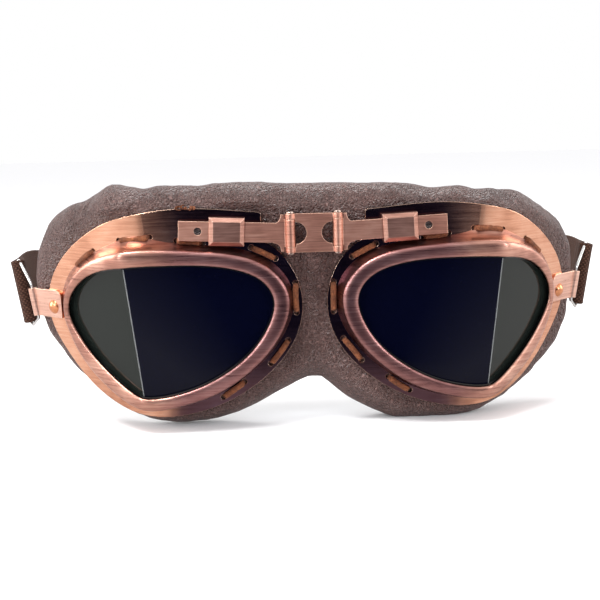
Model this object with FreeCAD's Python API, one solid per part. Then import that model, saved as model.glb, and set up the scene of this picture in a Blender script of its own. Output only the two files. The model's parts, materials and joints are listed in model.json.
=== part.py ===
import FreeCAD, Part
import math
import os

# Split-lens riding goggles. Millimetres, +Z up, the front of the goggles faces -Y, the wearer's
# head is on the +Y side. z = 0 is the surface that the goggles stand on. While the pieces are
# built, y = 0 is the front plane of the lens rims; everything is moved to the middle of the
# overall depth when it is saved. One side is built at +X and mirrored for the other.

V = FreeCAD.Vector
UP = V(0, 0, 1)
BACK = V(0, 1, 0)
OUTWARD = V(1, 0, 0)

# --- fold between the front pane and the side pane of each eye
FOLD_X = 72.0
FOLD_Z = 41.5
FOLD_LEAN = math.radians(6.5)
FOLD_ANGLE = math.radians(42.0)
RIM_FOLD_SOFTNESS = 1.2
FLANGE_BEND_RADIUS = 28.0

# --- depths behind the rim's front plane
LENS_Y = 3.0
LENS_THICKNESS = 2.0
GASKET_Y = 1.6
GASKET_DEPTH = 4.9
GASKET_LIP = 0.8
PANE_GAP = 0.1
RETAINER_THICKNESS = 0.8
FLANGE_Y = 9.0
FLANGE_THICKNESS = 1.0
MASK_DEPTH = 16.0
SKIN = 1.2

# --- how far the hidden edges lie from the opening (0) towards the rim's outer edge (1)
GASKET_SHARE = 0.74
PANE_SHARE = 0.45
RETAINER_SHARES = (0.12, 0.8)

# --- pressed rim
RIM_METAL = 0.9
RIM_STATIONS = 96
RIM_SHOULDER_SHARE = 1.07
RIM_SHOULDER_DEPTH = 1.3
RIM_CLEARANCE = 0.3
WALL_FLARE = 2.2
BROW_FLARE = 3.0
BROW_AT = V(70.0, 0, 73.0)
BROW_REACH = 9.0

# --- nose bridge
BRIDGE_Z = 77.1
PIN_X = 9.2
PIN_Y = 5.0
PIN_RADIUS = 0.9
PIN_CLEARANCE = 0.06
PIN_HEAD_RADIUS = 1.6
PIN_HEAD_HEIGHT = 0.9
KNUCKLE_RADIUS = 2.0
LINK_WIDTH = 14.2
LINK_HEIGHT = 15.0
LINK_NOTCH_RADIUS = 4.2
LINK_EAR = 2.1
EAR_CLEARANCE = 0.1
WEB_OVERLAP = 0.5
PLATE_THICKNESS = 1.8
LINK_Y = 4.1
BAR_Y = 5.1
BAR_HEIGHT = 7.6
BAR_HEAD_HEIGHT = 14.4
BAR_HEAD_REACH = 3.7
BAR_HEAD_GAP = 0.45
BAR_SHOULDER = 2.8
BAR_LENGTH = 43.0
BAR_RISE = math.radians(2.7)
KEEPER_AT = 24.5
KEEPER_LENGTH = 13.6
KEEPER_HEIGHT = 10.8
KEEPER_Y = 3.6
KEEPER_WALL = 1.35
KEEPER_BEVEL = 1.6
KEEPER_BEVEL_DEPTH = 0.95
KEEPER_CLEARANCE = 0.15
SCREW_AT = 35.6
SCREW_RADIUS = 1.5
SCREW_LENGTH = 2.1
SCREW_SINK = 0.5
SOCKET_RADIUS = 0.9
SLOT_LENGTH = 2.2
SLOT_WIDTH = 0.5
SLOT_DEPTH = 0.9

# --- strap bracket, rivet and wire bail
BRACKET_METAL = 1.0
BRACKET_LEAN = math.radians(9.0)
BARREL_AT = V(114.9, 0, 47.6)
BARREL_RADIUS = 1.8
BARREL_LENGTH = 11.6
BRACKET_INNER_X = 102.6
BRACKET_CORNER = 3.0
RIVET_AT = V(105.6, 0, 46.4)
RIVET_RADIUS = 2.9
RIVET_DOME = 1.5
RIVET_SHANK_RADIUS = 1.45
WIRE_RADIUS = 0.6
WIRE_CLEARANCE = 0.05
BAIL_REACH = 9.2
BAIL_OUTWARD = 0.567
BAIL_SHORT_LEG = 14.2
BAIL_ABOVE = 2.2
BAIL_BELOW = 1.8
BAIL_BEND = 1.1
STRAP_RISE = 4.3

# --- head strap
STRAP_WIDTH = 27.0
STRAP_THICKNESS = 1.4
LOOP_BORE = 1.5
LOOP_LEG = 14.0
REAR_Y = 173.0
REAR_Z = 15.1
STRAIGHT_X = 50.0
SLIDER_X = 12.0
SLIDER_WIDTH = 6.0
SLIDER_METAL = 1.1
SLIDER_CORNER = 0.9
SLIDER_CLEARANCE = 0.8
FOLD_GAP = 1.3
FOLD_X_REAR = 11.4
FOLD_LENGTH = 15.0
TAIL_X = -34.0

# --- lacing
LACE_HOLE_RADIUS = 1.1
LACE_RADIUS = 0.85
LACE_LIFT = 0.1
LACE_BEND = 0.8925

# --- mask split at the nose, so that the two cups can fold
NOSE_HALF_WIDTH = 4.5
CUP_FRONT_X = 9.0
CUP_REAR_X = 11.0
NOSE_GAP_Y = 1.2

FAR = 130.0
FRONT_MARGIN = 20.0
MIDDLE_Y = 86.73

# Outline of the lens opening and of the rim's outer edge, front view, as (x, z) pairs at matching
# stations, from the temple over the brow to the nose and back along the cheek.
OPENING = [
    (97.0, 41.5), (97.0, 53.0), (89.0, 61.7), (78.3, 65.5), (61.0, 66.6), (47.0, 66.4),
    (30.5, 64.2), (21.0, 59.9), (16.0, 51.5), (18.5, 41.5), (30.0, 27.5), (42.0, 20.0),
    (54.0, 15.8), (61.5, 14.5), (69.5, 15.0), (77.0, 19.0), (91.0, 32.0),
]
RIM = [
    (99.6, 41.5), (99.3, 54.0), (92.7, 64.0), (82.0, 70.0), (62.5, 72.3), (46.0, 71.3),
    (27.0, 68.5), (16.5, 63.0), (10.5, 53.0), (12.5, 41.5), (25.5, 25.0), (39.0, 16.0),
    (54.0, 11.3), (62.5, 10.0), (71.8, 11.0), (80.5, 15.5), (95.0, 30.5),
]
# Outer edge of the flange from the squared horn behind the nose bar, round the temple, to the
# step below the horn.
FLANGE = [
    (21.8, 85.4), (28.5, 86.0), (54.0, 87.3), (66.0, 86.0), (78.4, 83.2), (89.8, 77.2),
    (100.0, 68.2), (106.9, 57.0), (108.2, 42.0), (101.4, 28.2), (93.3, 18.3), (84.2, 11.2),
    (70.0, 6.0), (54.0, 5.4), (36.0, 10.2), (19.0, 21.0), (9.0, 33.0), (4.8, 47.0),
    (8.0, 62.0), (17.0, 72.6),
]
HORN_X = 20.3
HORN_LOW_Z = 74.0
HORN_TOP_Z = 83.9
HORN_CORNER = (20.7, 85.0)
# Outer edge of the padded mask, right half from the brow's middle down to the nose.
MASK = [
    (25.0, 95.6), (50.0, 95.0), (75.0, 94.3), (89.0, 91.0), (100.5, 84.5), (108.0, 75.0),
    (112.3, 63.5), (113.0, 51.5), (110.8, 39.0), (106.5, 28.0), (99.0, 18.0), (87.0, 9.0),
    (74.0, 3.3), (60.0, -0.3), (47.0, -0.3), (35.0, 2.3), (24.0, 6.6), (12.0, 13.5),
]
MASK_TOP = (0.0, 95.6)
MASK_NOTCH = (0.0, 18.0)
# Pairs of lacing holes in the flange; one stitch shows over each pair.
STITCHES = [
    ((94.0, 64.3), (86.5, 70.9)), ((75.4, 75.6), (63.4, 76.6)), ((53.2, 75.0), (43.2, 74.0)),
    ((24.4, 71.6), (15.1, 67.0)), ((7.4, 57.0), (7.3, 45.5)), ((11.0, 34.3), (18.0, 25.3)),
    ((28.7, 18.2), (37.2, 12.4)),
]
# Course of a strap half from its bail loop to the rear: x, y, height of its middle, lean.
STRAP_COURSE = [
    (123.4, 90.0, 51.0, 8.0), (120.0, 111.0, 48.3, 7.0), (111.0, 132.0, 41.5, 5.0),
    (96.0, 150.5, 32.0, 3.0), (78.0, 164.0, 23.0, 1.2), (62.0, 171.3, 17.0, 0.3),
]

# --- local directions at the fold and on the side plane
FOLD_AXIS = V(math.sin(FOLD_LEAN), 0, math.cos(FOLD_LEAN))
ACROSS = V(math.cos(FOLD_LEAN), 0, -math.sin(FOLD_LEAN))
SIDE_NORMAL = ACROSS * math.sin(FOLD_ANGLE) - BACK * math.cos(FOLD_ANGLE)
BARREL_AXIS = V(math.sin(BRACKET_LEAN), 0, math.cos(BRACKET_LEAN))
BARREL_ACROSS = V(math.cos(BRACKET_LEAN), 0, -math.sin(BRACKET_LEAN))


def flat(pair, y=0.0):
    return V(pair[0], y, pair[1])


def beyond_fold(point):
    """Distance of a front-view point beyond the fold line, towards the temple."""
    return (point.x - FOLD_X) * ACROSS.x + (point.z - FOLD_Z) * ACROSS.z


def mirrored(shape):
    return shape.mirror(V(0, 0, 0), OUTWARD)


def stations_of(points):
    """Running chord length at each point of a closed outline, with the closing value last."""
    lengths = [0.0]
    for here, there in zip(points, points[1:] + points[:1]):
        lengths.append(lengths[-1] + (there - here).Length)
    return lengths


RIM_STATION_VALUES = stations_of([flat(pair) for pair in RIM])


def closed_curve(points, values=None):
    curve = Part.BSplineCurve()
    values = values or stations_of(points)
    curve.interpolate(Points=points, PeriodicFlag=True, Parameters=values)
    return curve


def eye_curve(share):
    """Outline a share of the way from the lens opening to the rim's outer edge."""
    points = [flat(a) + (flat(b) - flat(a)) * share for a, b in zip(OPENING, RIM)]
    return closed_curve(points, RIM_STATION_VALUES)


def points_along(curve, count):
    first = curve.FirstParameter
    step = (curve.LastParameter - first) / count
    return [curve.value(first + step * k) for k in range(count)]


def grown_points(curve, by, count=72):
    """Points of an outline moved outward by a distance, in the front view."""
    first = curve.FirstParameter
    step = (curve.LastParameter - first) / count
    ring = []
    for k in range(count):
        tangent = curve.tangent(first + step * k)[0]
        normal = V(tangent.z, 0, -tangent.x)
        ring.append((curve.value(first + step * k), normal))
    middle = V(0, 0, 0)
    for point, normal in ring:
        middle += point * (1.0 / count)
    facing = sum(1 if normal.dot(point - middle) > 0 else -1 for point, normal in ring)
    sign = 1 if facing > 0 else -1
    return [point + normal * (by * sign) for point, normal in ring]


def grown(curve, by):
    return closed_curve(grown_points(curve, by))


def prism(outline):
    """Solid that carries a front-view outline through the whole depth."""
    if not isinstance(outline, Part.Wire):
        outline = Part.Wire([outline.toShape()])
    solid = Part.Face(outline).extrude(BACK * (2 * FAR))
    solid.translate(BACK * -FRONT_MARGIN)
    return solid


def fold_point(across, depth, along=0.0):
    return V(FOLD_X, 0, FOLD_Z) + ACROSS * across + BACK * depth + FOLD_AXIS * along


def swept_profile(edges):
    """Profile in the fold's cross-section, carried along the fold line."""
    solid = Part.Face(Part.Wire(edges)).extrude(FOLD_AXIS * (2 * FAR))
    solid.translate(FOLD_AXIS * -FAR)
    return solid


def polygon(points):
    return Part.makePolygon(points + points[:1]).Edges


def bent_sheet(front, thickness, radius):
    """Sheet that is flat in front and turns back round the temple with a round bend."""
    start = -FLANGE_BEND_RADIUS * math.tan(FOLD_ANGLE / 2)
    middle_y = FLANGE_Y + FLANGE_BEND_RADIUS

    def bend(r, angle):
        return fold_point(start + r * math.sin(angle), middle_y - r * math.cos(angle))

    run = V(0, 0, 0) + ACROSS * math.cos(FOLD_ANGLE) + BACK * math.sin(FOLD_ANGLE)
    inner = radius - thickness
    half = FOLD_ANGLE / 2
    front_start = fold_point(-FAR, front)
    back_start = fold_point(-FAR, front + thickness)
    front_end = bend(radius, FOLD_ANGLE) + run * FAR
    back_end = bend(inner, FOLD_ANGLE) + run * FAR
    edges = [
        Part.LineSegment(front_start, bend(radius, 0)).toShape(),
        Part.Arc(bend(radius, 0), bend(radius, half), bend(radius, FOLD_ANGLE)).toShape(),
        Part.LineSegment(bend(radius, FOLD_ANGLE), front_end).toShape(),
        Part.LineSegment(front_end, back_end).toShape(),
        Part.LineSegment(back_end, bend(inner, FOLD_ANGLE)).toShape(),
        Part.Arc(bend(inner, FOLD_ANGLE), bend(inner, half), bend(inner, 0)).toShape(),
        Part.LineSegment(bend(inner, 0), back_start).toShape(),
        Part.LineSegment(back_start, front_start).toShape(),
    ]
    return swept_profile(edges)


def flange_layer(depth, thickness):
    """Layer of the bent sheet, counted back from the flange's front face."""
    return bent_sheet(FLANGE_Y + depth, thickness, FLANGE_BEND_RADIUS - depth)


def pane_profile(depth, thickness, side, gap=0.0):
    """Cross-section of the flat front pane or the flat side pane, mitred at the fold."""
    slope = math.tan(FOLD_ANGLE / 2)
    near = (-depth * slope, depth)
    far = (-(depth + thickness) * slope, depth + thickness)
    if side == "front":
        way = (-1.0, 0.0)
    else:
        way = (math.cos(FOLD_ANGLE), math.sin(FOLD_ANGLE))
    corners = []
    for start, run in ((near, gap), (near, FAR), (far, FAR), (far, gap)):
        corners.append(fold_point(start[0] + way[0] * run, start[1] + way[1] * run))
    return swept_profile(polygon(corners))


def folded_layer(depth, thickness):
    """Layer behind the rim face with a sharp fold, as the two panes have."""
    front = pane_profile(depth, thickness, "front")
    return front.fuse(pane_profile(depth, thickness, "side")).removeSplitter()


def rim_point(point, depth):
    """Front-view point laid on the softly folded rim face, then sunk by a depth."""
    d = beyond_fold(point)
    reach = math.hypot(d, RIM_FOLD_SOFTNESS)
    y = 0.5 * (d + reach) * math.tan(FOLD_ANGLE)
    turn = math.atan(0.5 * (1 + d / reach) * math.tan(FOLD_ANGLE))
    sunk = BACK * math.cos(turn) - ACROSS * math.sin(turn)
    return V(point.x, 0, point.z) + BACK * y + sunk * depth


def flange_front_y(point):
    """Depth of the flange's front face at a front-view point."""
    d = beyond_fold(point)
    start = -FLANGE_BEND_RADIUS * math.tan(FOLD_ANGLE / 2)
    if d < start:
        return FLANGE_Y
    if d < start + FLANGE_BEND_RADIUS * math.sin(FOLD_ANGLE):
        return FLANGE_Y + FLANGE_BEND_RADIUS - math.sqrt(FLANGE_BEND_RADIUS ** 2 - (d - start) ** 2)
    return FLANGE_Y + d * math.tan(FOLD_ANGLE)


def side_point(point):
    """Front-view point on the flat side part of the flange."""
    return V(point.x, FLANGE_Y + beyond_fold(point) * math.tan(FOLD_ANGLE), point.z)


def ring_solid(rows):
    """Closed ring from rows of poles: each row runs round the eye, the rows run round the section."""
    surface = Part.BSplineSurface()
    count_u = len(rows)
    count_v = len(rows[0])
    surface.buildFromPolesMultsKnots(
        rows, [1] * (count_u + 1), [1] * (count_v + 1),
        list(range(count_u + 1)), list(range(count_v + 1)), True, True, 3, 3)
    solid = Part.Solid(Part.Shell([surface.toShape()]))
    if solid.Volume < 0:
        solid.reverse()
    return solid


def foot_points():
    """Where the rim's wall meets the flange; the wall flares most over the brow."""
    flare_ring = grown_points(eye_curve(1.0), 1.0, RIM_STATIONS)
    edge_ring = points_along(eye_curve(1.0), RIM_STATIONS)
    feet = []
    for edge, outer in zip(edge_ring, flare_ring):
        brow = math.exp(-((edge - BROW_AT).Length / BROW_REACH) ** 2)
        feet.append(edge + (outer - edge) * (WALL_FLARE + BROW_FLARE * brow))
    return feet


def lens_rim():
    """Pressed rim: a crowned face round the opening and a wall that flares back to the flange."""
    inner = points_along(eye_curve(0.0), RIM_STATIONS)
    outer = points_along(eye_curve(1.0), RIM_STATIONS)
    feet = foot_points()
    # section: share of the face width, depth below the face
    face = [(0.08, 1.1), (-0.04, 1.0), (-0.06, 0.3), (0.04, -0.12), (0.25, -0.3), (0.6, -0.35),
            (0.9, -0.15), (1.03, 0.45), (RIM_SHOULDER_SHARE, RIM_SHOULDER_DEPTH)]
    # wall: share of the way down to the flange, on its outer and then its inner side
    wall = [(0.35, 0.0), (0.7, 0.0), (0.96, 0.0), (1.0, 0.0), (1.0, 1.0), (0.8, 1.0), (0.4, 1.0)]
    under = [(0.84, 1.2), (0.45, 1.0)]
    rows = []
    for share, depth in face:
        rows.append([rim_point(a + (b - a) * share, depth) for a, b in zip(inner, outer)])
    for down, inside in wall:
        row = []
        for a, b, foot in zip(inner, outer, feet):
            top = rim_point(a + (b - a) * RIM_SHOULDER_SHARE, RIM_SHOULDER_DEPTH)
            base = V(foot.x, flange_front_y(foot) + 0.1, foot.z)
            inward = a - b
            inward.normalize()
            curl = down * down
            point = V(top.x + (base.x - top.x) * curl, top.y + (base.y - top.y) * down,
                      top.z + (base.z - top.z) * curl)
            row.append(point + inward * (RIM_METAL * inside))
        rows.append(row)
    for share, depth in under:
        rows.append([rim_point(a + (b - a) * share, depth) for a, b in zip(inner, outer)])
    return ring_solid(rows)


def flange_outline():
    edge = Part.BSplineCurve()
    edge.interpolate(Points=[flat(pair) for pair in FLANGE])
    first = flat(FLANGE[0])
    last = flat(FLANGE[-1])
    low = V(HORN_X, 0, HORN_LOW_Z)
    top = V(HORN_X, 0, HORN_TOP_Z)
    return Part.Wire([
        edge.toShape(),
        Part.LineSegment(last, low).toShape(),
        Part.LineSegment(low, top).toShape(),
        Part.Arc(top, flat(HORN_CORNER), first).toShape(),
    ])


def lace_hole(pair):
    """Centre of one lacing hole on the flange's front face, and the direction into the plate."""
    point = flat(pair)
    y = flange_front_y(point)
    ahead = point + ACROSS * 0.1
    rise = (flange_front_y(ahead) - y) / 0.1
    into = BACK - ACROSS * rise
    into.normalize()
    centre = V(point.x, y, point.z)
    return centre, into


def eye_flange():
    """Bent plate that carries the rim in front and the laced mask behind."""
    plate = prism(flange_outline()).common(flange_layer(0.0, FLANGE_THICKNESS))
    plate = plate.cut(prism(grown(eye_curve(1.0), RIM_CLEARANCE)))
    drills = []
    for pair in [end for stitch in STITCHES for end in stitch]:
        centre, into = lace_hole(pair)
        drills.append(Part.makeCylinder(LACE_HOLE_RADIUS, 4.0, centre - into * 2.0, into))
    rivet_centre = side_point(RIVET_AT)
    drills.append(Part.makeCylinder(RIVET_SHANK_RADIUS, 6.0, rivet_centre + SIDE_NORMAL * 3.0,
                                    SIDE_NORMAL * -1))
    return plate.cut(Part.makeCompound(drills))


def lens_gasket():
    """Rubber channel: a lip in front of the panes, a slot for their edge, a lip behind."""
    ring = prism(eye_curve(GASKET_SHARE)).cut(prism(grown(eye_curve(0.0), -GASKET_LIP)))
    ring = ring.common(folded_layer(GASKET_Y, GASKET_DEPTH))
    slot = prism(eye_curve(PANE_SHARE)).common(folded_layer(LENS_Y, LENS_THICKNESS))
    return ring.cut(slot)


def lens_pane(side):
    """Flat pane in the gasket's slot, a hair short of the other pane at the fold."""
    shape = pane_profile(LENS_Y, LENS_THICKNESS, side, PANE_GAP)
    return prism(eye_curve(PANE_SHARE)).common(shape)


def lens_retainer():
    """Thin ring behind the gasket that holds the panes in the rim."""
    inner, outer = RETAINER_SHARES
    ring = prism(eye_curve(outer)).cut(prism(eye_curve(inner)))
    return ring.common(folded_layer(GASKET_Y + GASKET_DEPTH, RETAINER_THICKNESS))


def bar_frame(shape):
    """Turn a piece built along +X from the hinge pin to the bar's slight rise."""
    shape.rotate(V(PIN_X, 0, BRIDGE_Z), V(0, -1, 0), math.degrees(BAR_RISE))
    return shape


def centred_box(x0, x1, y0, y1, height):
    return Part.makeBox(x1 - x0, y1 - y0, height, V(x0, y0, BRIDGE_Z - height / 2))


def bridge_link():
    """Plate between the two hinge pins with a half-round notch at each end."""
    half = LINK_WIDTH / 2
    plate = centred_box(-half, half, LINK_Y, LINK_Y + PLATE_THICKNESS, LINK_HEIGHT)
    for side in (-1, 1):
        notch = Part.makeCylinder(LINK_NOTCH_RADIUS, 10.0, V(side * half, 0, BRIDGE_Z), BACK)
        plate = plate.cut(notch)
    for side in (-1, 1):
        for low in (BRIDGE_Z - LINK_HEIGHT / 2, BRIDGE_Z + LINK_HEIGHT / 2 - LINK_EAR):
            ear = Part.makeCylinder(KNUCKLE_RADIUS, LINK_EAR, V(side * PIN_X, PIN_Y, low), UP)
            x0 = min(side * PIN_X, side * (half - WEB_OVERLAP))
            web = Part.makeBox(PIN_X - half + WEB_OVERLAP, PLATE_THICKNESS, LINK_EAR,
                               V(x0, LINK_Y, low))
            plate = plate.fuse([ear, web])
    for side in (-1, 1):
        bore = Part.makeCylinder(PIN_RADIUS, 2 * LINK_HEIGHT,
                                 V(side * PIN_X, PIN_Y, BRIDGE_Z - LINK_HEIGHT), UP)
        plate = plate.cut(bore)
    return plate.removeSplitter()


def hinge_pin():
    """Pin with a rounded head at each end."""
    low = BRIDGE_Z - LINK_HEIGHT / 2
    pin = Part.makeCylinder(PIN_RADIUS, LINK_HEIGHT, V(PIN_X, PIN_Y, low), UP)
    for start, way in ((low, -1), (low + LINK_HEIGHT, 1)):
        head = Part.makeCylinder(PIN_HEAD_RADIUS, PIN_HEAD_HEIGHT, V(PIN_X, PIN_Y, start), UP * way)
        end_edge = [e for e in head.Edges if e.Curve.TypeId == "Part::GeomCircle"
                    and abs(e.CenterOfMass.z - start) > PIN_HEAD_HEIGHT / 2]
        pin = pin.fuse(head.makeFillet(PIN_HEAD_HEIGHT * 0.6, end_edge))
    return pin.removeSplitter()


def bridge_bar():
    """Hinged bar: a tall head at the pin, filleted shoulders, and a straight sliding strip."""
    head_half = BAR_HEAD_HEIGHT / 2
    strip_half = BAR_HEIGHT / 2
    x0 = PIN_X + KNUCKLE_RADIUS + BAR_HEAD_GAP
    x1 = PIN_X + BAR_HEAD_REACH
    r = BAR_SHOULDER
    turn = math.sqrt(0.5)

    def at(x, z):
        return V(x, BAR_Y, BRIDGE_Z + z)

    edges = [Part.LineSegment(at(x0, -head_half), at(x0, head_half)).toShape(),
             Part.LineSegment(at(x0, head_half), at(x1, head_half)).toShape()]
    top = head_half - strip_half
    edges += [
        Part.LineSegment(at(x1, head_half), at(x1, head_half - top + r)).toShape(),
        Part.Arc(at(x1, strip_half + r), at(x1 + r * (1 - turn), strip_half + r * (1 - turn)),
                 at(x1 + r, strip_half)).toShape(),
        Part.LineSegment(at(x1 + r, strip_half), at(x1 + r, -strip_half)).toShape(),
        Part.Arc(at(x1 + r, -strip_half), at(x1 + r * (1 - turn), -strip_half - r * (1 - turn)),
                 at(x1, -strip_half - r)).toShape(),
        Part.LineSegment(at(x1, -strip_half - r), at(x1, -head_half)).toShape(),
        Part.LineSegment(at(x1, -head_half), at(x0, -head_half)).toShape(),
    ]
    head = Part.Face(Part.Wire(edges)).extrude(BACK * PLATE_THICKNESS)
    strip = centred_box(x1, PIN_X + BAR_LENGTH, BAR_Y, BAR_Y + PLATE_THICKNESS, BAR_HEIGHT)
    bar = head.fuse(bar_frame(strip))
    ear = LINK_EAR + EAR_CLEARANCE
    low = BRIDGE_Z - LINK_HEIGHT / 2 + ear
    tall = LINK_HEIGHT - 2 * ear
    knuckle = Part.makeCylinder(KNUCKLE_RADIUS, tall, V(PIN_X, PIN_Y, low), UP)
    web = centred_box(PIN_X, x0 + WEB_OVERLAP, BAR_Y, BAR_Y + PLATE_THICKNESS, tall)
    bar = bar.fuse([knuckle, web])
    bore = Part.makeCylinder(PIN_RADIUS + PIN_CLEARANCE, 2 * LINK_HEIGHT,
                             V(PIN_X, PIN_Y, BRIDGE_Z - LINK_HEIGHT), UP)
    eyelet = Part.makeCylinder(SCREW_RADIUS, 10.0, V(PIN_X + SCREW_AT, 0, BRIDGE_Z), BACK)
    return bar.cut([bore, bar_frame(eyelet)]).removeSplitter()


def bar_stop_screw():
    """Small slotted screw in the bar's end; it stops the bar at the keeper."""
    x = PIN_X + SCREW_AT
    head_y = BAR_Y + SCREW_SINK
    screw = Part.makeCylinder(SCREW_RADIUS, SCREW_LENGTH, V(x, head_y, BRIDGE_Z), BACK)
    socket = Part.makeCylinder(SOCKET_RADIUS, SLOT_DEPTH / 2, V(x, head_y, BRIDGE_Z), BACK)
    slot = Part.makeBox(SLOT_LENGTH, SLOT_DEPTH, SLOT_WIDTH,
                        V(x - SLOT_LENGTH / 2, head_y, BRIDGE_Z - SLOT_WIDTH / 2))
    return bar_frame(screw.cut([socket, slot]))


def bar_keeper():
    """Box loop on the flange that the bar slides through, with a bevelled front."""
    x0 = PIN_X + KEEPER_AT - KEEPER_LENGTH / 2
    x1 = x0 + KEEPER_LENGTH
    shoulder_y = KEEPER_Y + KEEPER_BEVEL_DEPTH
    outlines = []
    for y, inset in ((KEEPER_Y, KEEPER_BEVEL), (shoulder_y, 0.0)):
        half = KEEPER_HEIGHT / 2 - inset
        low, high = BRIDGE_Z - half, BRIDGE_Z + half
        corners = [V(x0 + inset, y, low), V(x1 - inset, y, low), V(x1 - inset, y, high),
                   V(x0 + inset, y, high)]
        outlines.append(Part.makePolygon(corners + corners[:1]))
    front = Part.makeLoft(outlines, True, True)
    box = front.fuse(centred_box(x0, x1, shoulder_y, FLANGE_Y, KEEPER_HEIGHT))
    tunnel = centred_box(x0 - 1, x1 + 1, KEEPER_Y + KEEPER_WALL,
                         BAR_Y + PLATE_THICKNESS + KEEPER_CLEARANCE,
                         BAR_HEIGHT + 2 * KEEPER_CLEARANCE)
    return bar_frame(box.cut(tunnel))


def barrel_centre():
    return side_point(BARREL_AT) + SIDE_NORMAL * (BRACKET_METAL / 2)


def strap_bracket():
    """Riveted plate on the temple side of the flange, curled into a barrel for the bail."""
    lean = math.tan(BRACKET_LEAN)
    half = BARREL_LENGTH / 2
    mid = BARREL_AT.z
    r = BRACKET_CORNER
    inner = BRACKET_INNER_X
    top = mid + half
    bottom = mid - half
    before = V(inner + r, 0, top)
    after = V(inner, 0, top - r)
    crown = V(inner + r * (1 - math.sqrt(0.5)), 0, top - r * (1 - math.sqrt(0.5)))
    outline = [after, V(inner, 0, bottom), V(BARREL_AT.x - half * lean, 0, bottom),
               V(BARREL_AT.x + half * lean, 0, top), before]
    edges = [Part.LineSegment(a, b).toShape() for a, b in zip(outline, outline[1:])]
    edges.append(Part.Arc(before, crown, after).toShape())
    plate = prism(Part.Wire(edges))
    plate = plate.common(flange_layer(-BRACKET_METAL, BRACKET_METAL))
    low = barrel_centre() - BARREL_AXIS * half
    barrel = Part.makeCylinder(BARREL_RADIUS, BARREL_LENGTH, low, BARREL_AXIS)
    bore = Part.makeCylinder(WIRE_RADIUS + WIRE_CLEARANCE, 3 * BARREL_LENGTH,
                             low - BARREL_AXIS * BARREL_LENGTH, BARREL_AXIS)
    rivet_hole = Part.makeCylinder(RIVET_SHANK_RADIUS, 8.0,
                                   side_point(RIVET_AT) + SIDE_NORMAL * 4.0, SIDE_NORMAL * -1)
    return plate.fuse(barrel).cut([bore, rivet_hole]).removeSplitter()


def bracket_rivet():
    """Domed rivet through the bracket and the flange."""
    seat = side_point(RIVET_AT) + SIDE_NORMAL * BRACKET_METAL
    ball = (RIVET_RADIUS ** 2 + RIVET_DOME ** 2) / (2 * RIVET_DOME)
    dome = Part.makeSphere(ball, seat + SIDE_NORMAL * (RIVET_DOME - ball))
    keep = Part.makeCylinder(RIVET_RADIUS + 1, RIVET_DOME + 1, seat, SIDE_NORMAL)
    shank = Part.makeCylinder(RIVET_SHANK_RADIUS, BRACKET_METAL + FLANGE_THICKNESS, seat,
                              SIDE_NORMAL * -1)
    return dome.common(keep).fuse(shank).removeSplitter()


def bail_frame():
    """Origin in the barrel and the direction from it to the strap's leg."""
    reach = V(BAIL_OUTWARD, math.sqrt(1 - BAIL_OUTWARD ** 2), 0)
    reach = reach - BARREL_AXIS * reach.dot(BARREL_AXIS)
    reach.normalize()
    return barrel_centre(), reach


def rounded_path(corners, radius, closed):
    """Straight runs joined by tangent arcs of one radius."""
    count = len(corners)
    bends = []
    for k, corner in enumerate(corners):
        if not closed and k in (0, count - 1):
            bends.append((corner, None, corner))
            continue
        to_last = corners[k - 1] - corner
        to_next = corners[(k + 1) % count] - corner
        to_last.normalize()
        to_next.normalize()
        half = to_last.getAngle(to_next) / 2
        trim = radius / math.tan(half)
        inward = to_last + to_next
        inward.normalize()
        crown = corner + inward * (radius / math.sin(half) - radius)
        bends.append((corner + to_last * trim, crown, corner + to_next * trim))
    edges = []
    for k in range(count):
        start, crown, end = bends[k]
        if crown:
            edges.append(Part.Arc(start, crown, end).toShape())
        if closed or k + 1 < count:
            edges.append(Part.LineSegment(end, bends[(k + 1) % count][0]).toShape())
    return edges


def wire_along(edges, radius):
    """Round wire swept along each straight run and arc of a path."""
    pieces = []
    for edge in edges:
        start = edge.valueAt(edge.FirstParameter)
        tangent = edge.tangentAt(edge.FirstParameter)
        ring = Part.Wire([Part.makeCircle(radius, start, tangent)])
        pieces.append(Part.Wire([edge]).makePipeShell([ring], True, False))
    return pieces[0].fuse(pieces[1:]).removeSplitter()


def strap_bail():
    """Wire loop: a short leg turns in the barrel, a long leg carries the strap."""
    origin, reach = bail_frame()
    short = BAIL_SHORT_LEG / 2
    high = STRAP_RISE + STRAP_WIDTH / 2 + BAIL_ABOVE
    low = STRAP_RISE - STRAP_WIDTH / 2 - BAIL_BELOW
    corners = [
        origin - BARREL_AXIS * short, origin + BARREL_AXIS * short,
        origin + reach * BAIL_REACH + BARREL_AXIS * high,
        origin + reach * BAIL_REACH + BARREL_AXIS * low,
    ]
    return wire_along(rounded_path(corners, BAIL_BEND, True), WIRE_RADIUS)


def strip_solid(profile_edges, direction, height):
    return Part.Face(Part.Wire(profile_edges)).extrude(direction * height)


def u_profile(centre, q, run, bore, thickness, long_leg, short_leg):
    """Flat strip folded round a bar: q points to the long leg, run points away from the fold."""
    outer = bore + thickness

    def at(side, along):
        return centre + q * side + run * along

    return [
        Part.LineSegment(at(outer, long_leg), at(outer, 0)).toShape(),
        Part.Arc(at(outer, 0), at(0, -outer), at(-outer, 0)).toShape(),
        Part.LineSegment(at(-outer, 0), at(-outer, short_leg)).toShape(),
        Part.LineSegment(at(-outer, short_leg), at(-bore, short_leg)).toShape(),
        Part.LineSegment(at(-bore, short_leg), at(-bore, 0)).toShape(),
        Part.Arc(at(-bore, 0), at(0, -bore), at(bore, 0)).toShape(),
        Part.LineSegment(at(bore, 0), at(bore, long_leg)).toShape(),
        Part.LineSegment(at(bore, long_leg), at(outer, long_leg)).toShape(),
    ]


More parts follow.
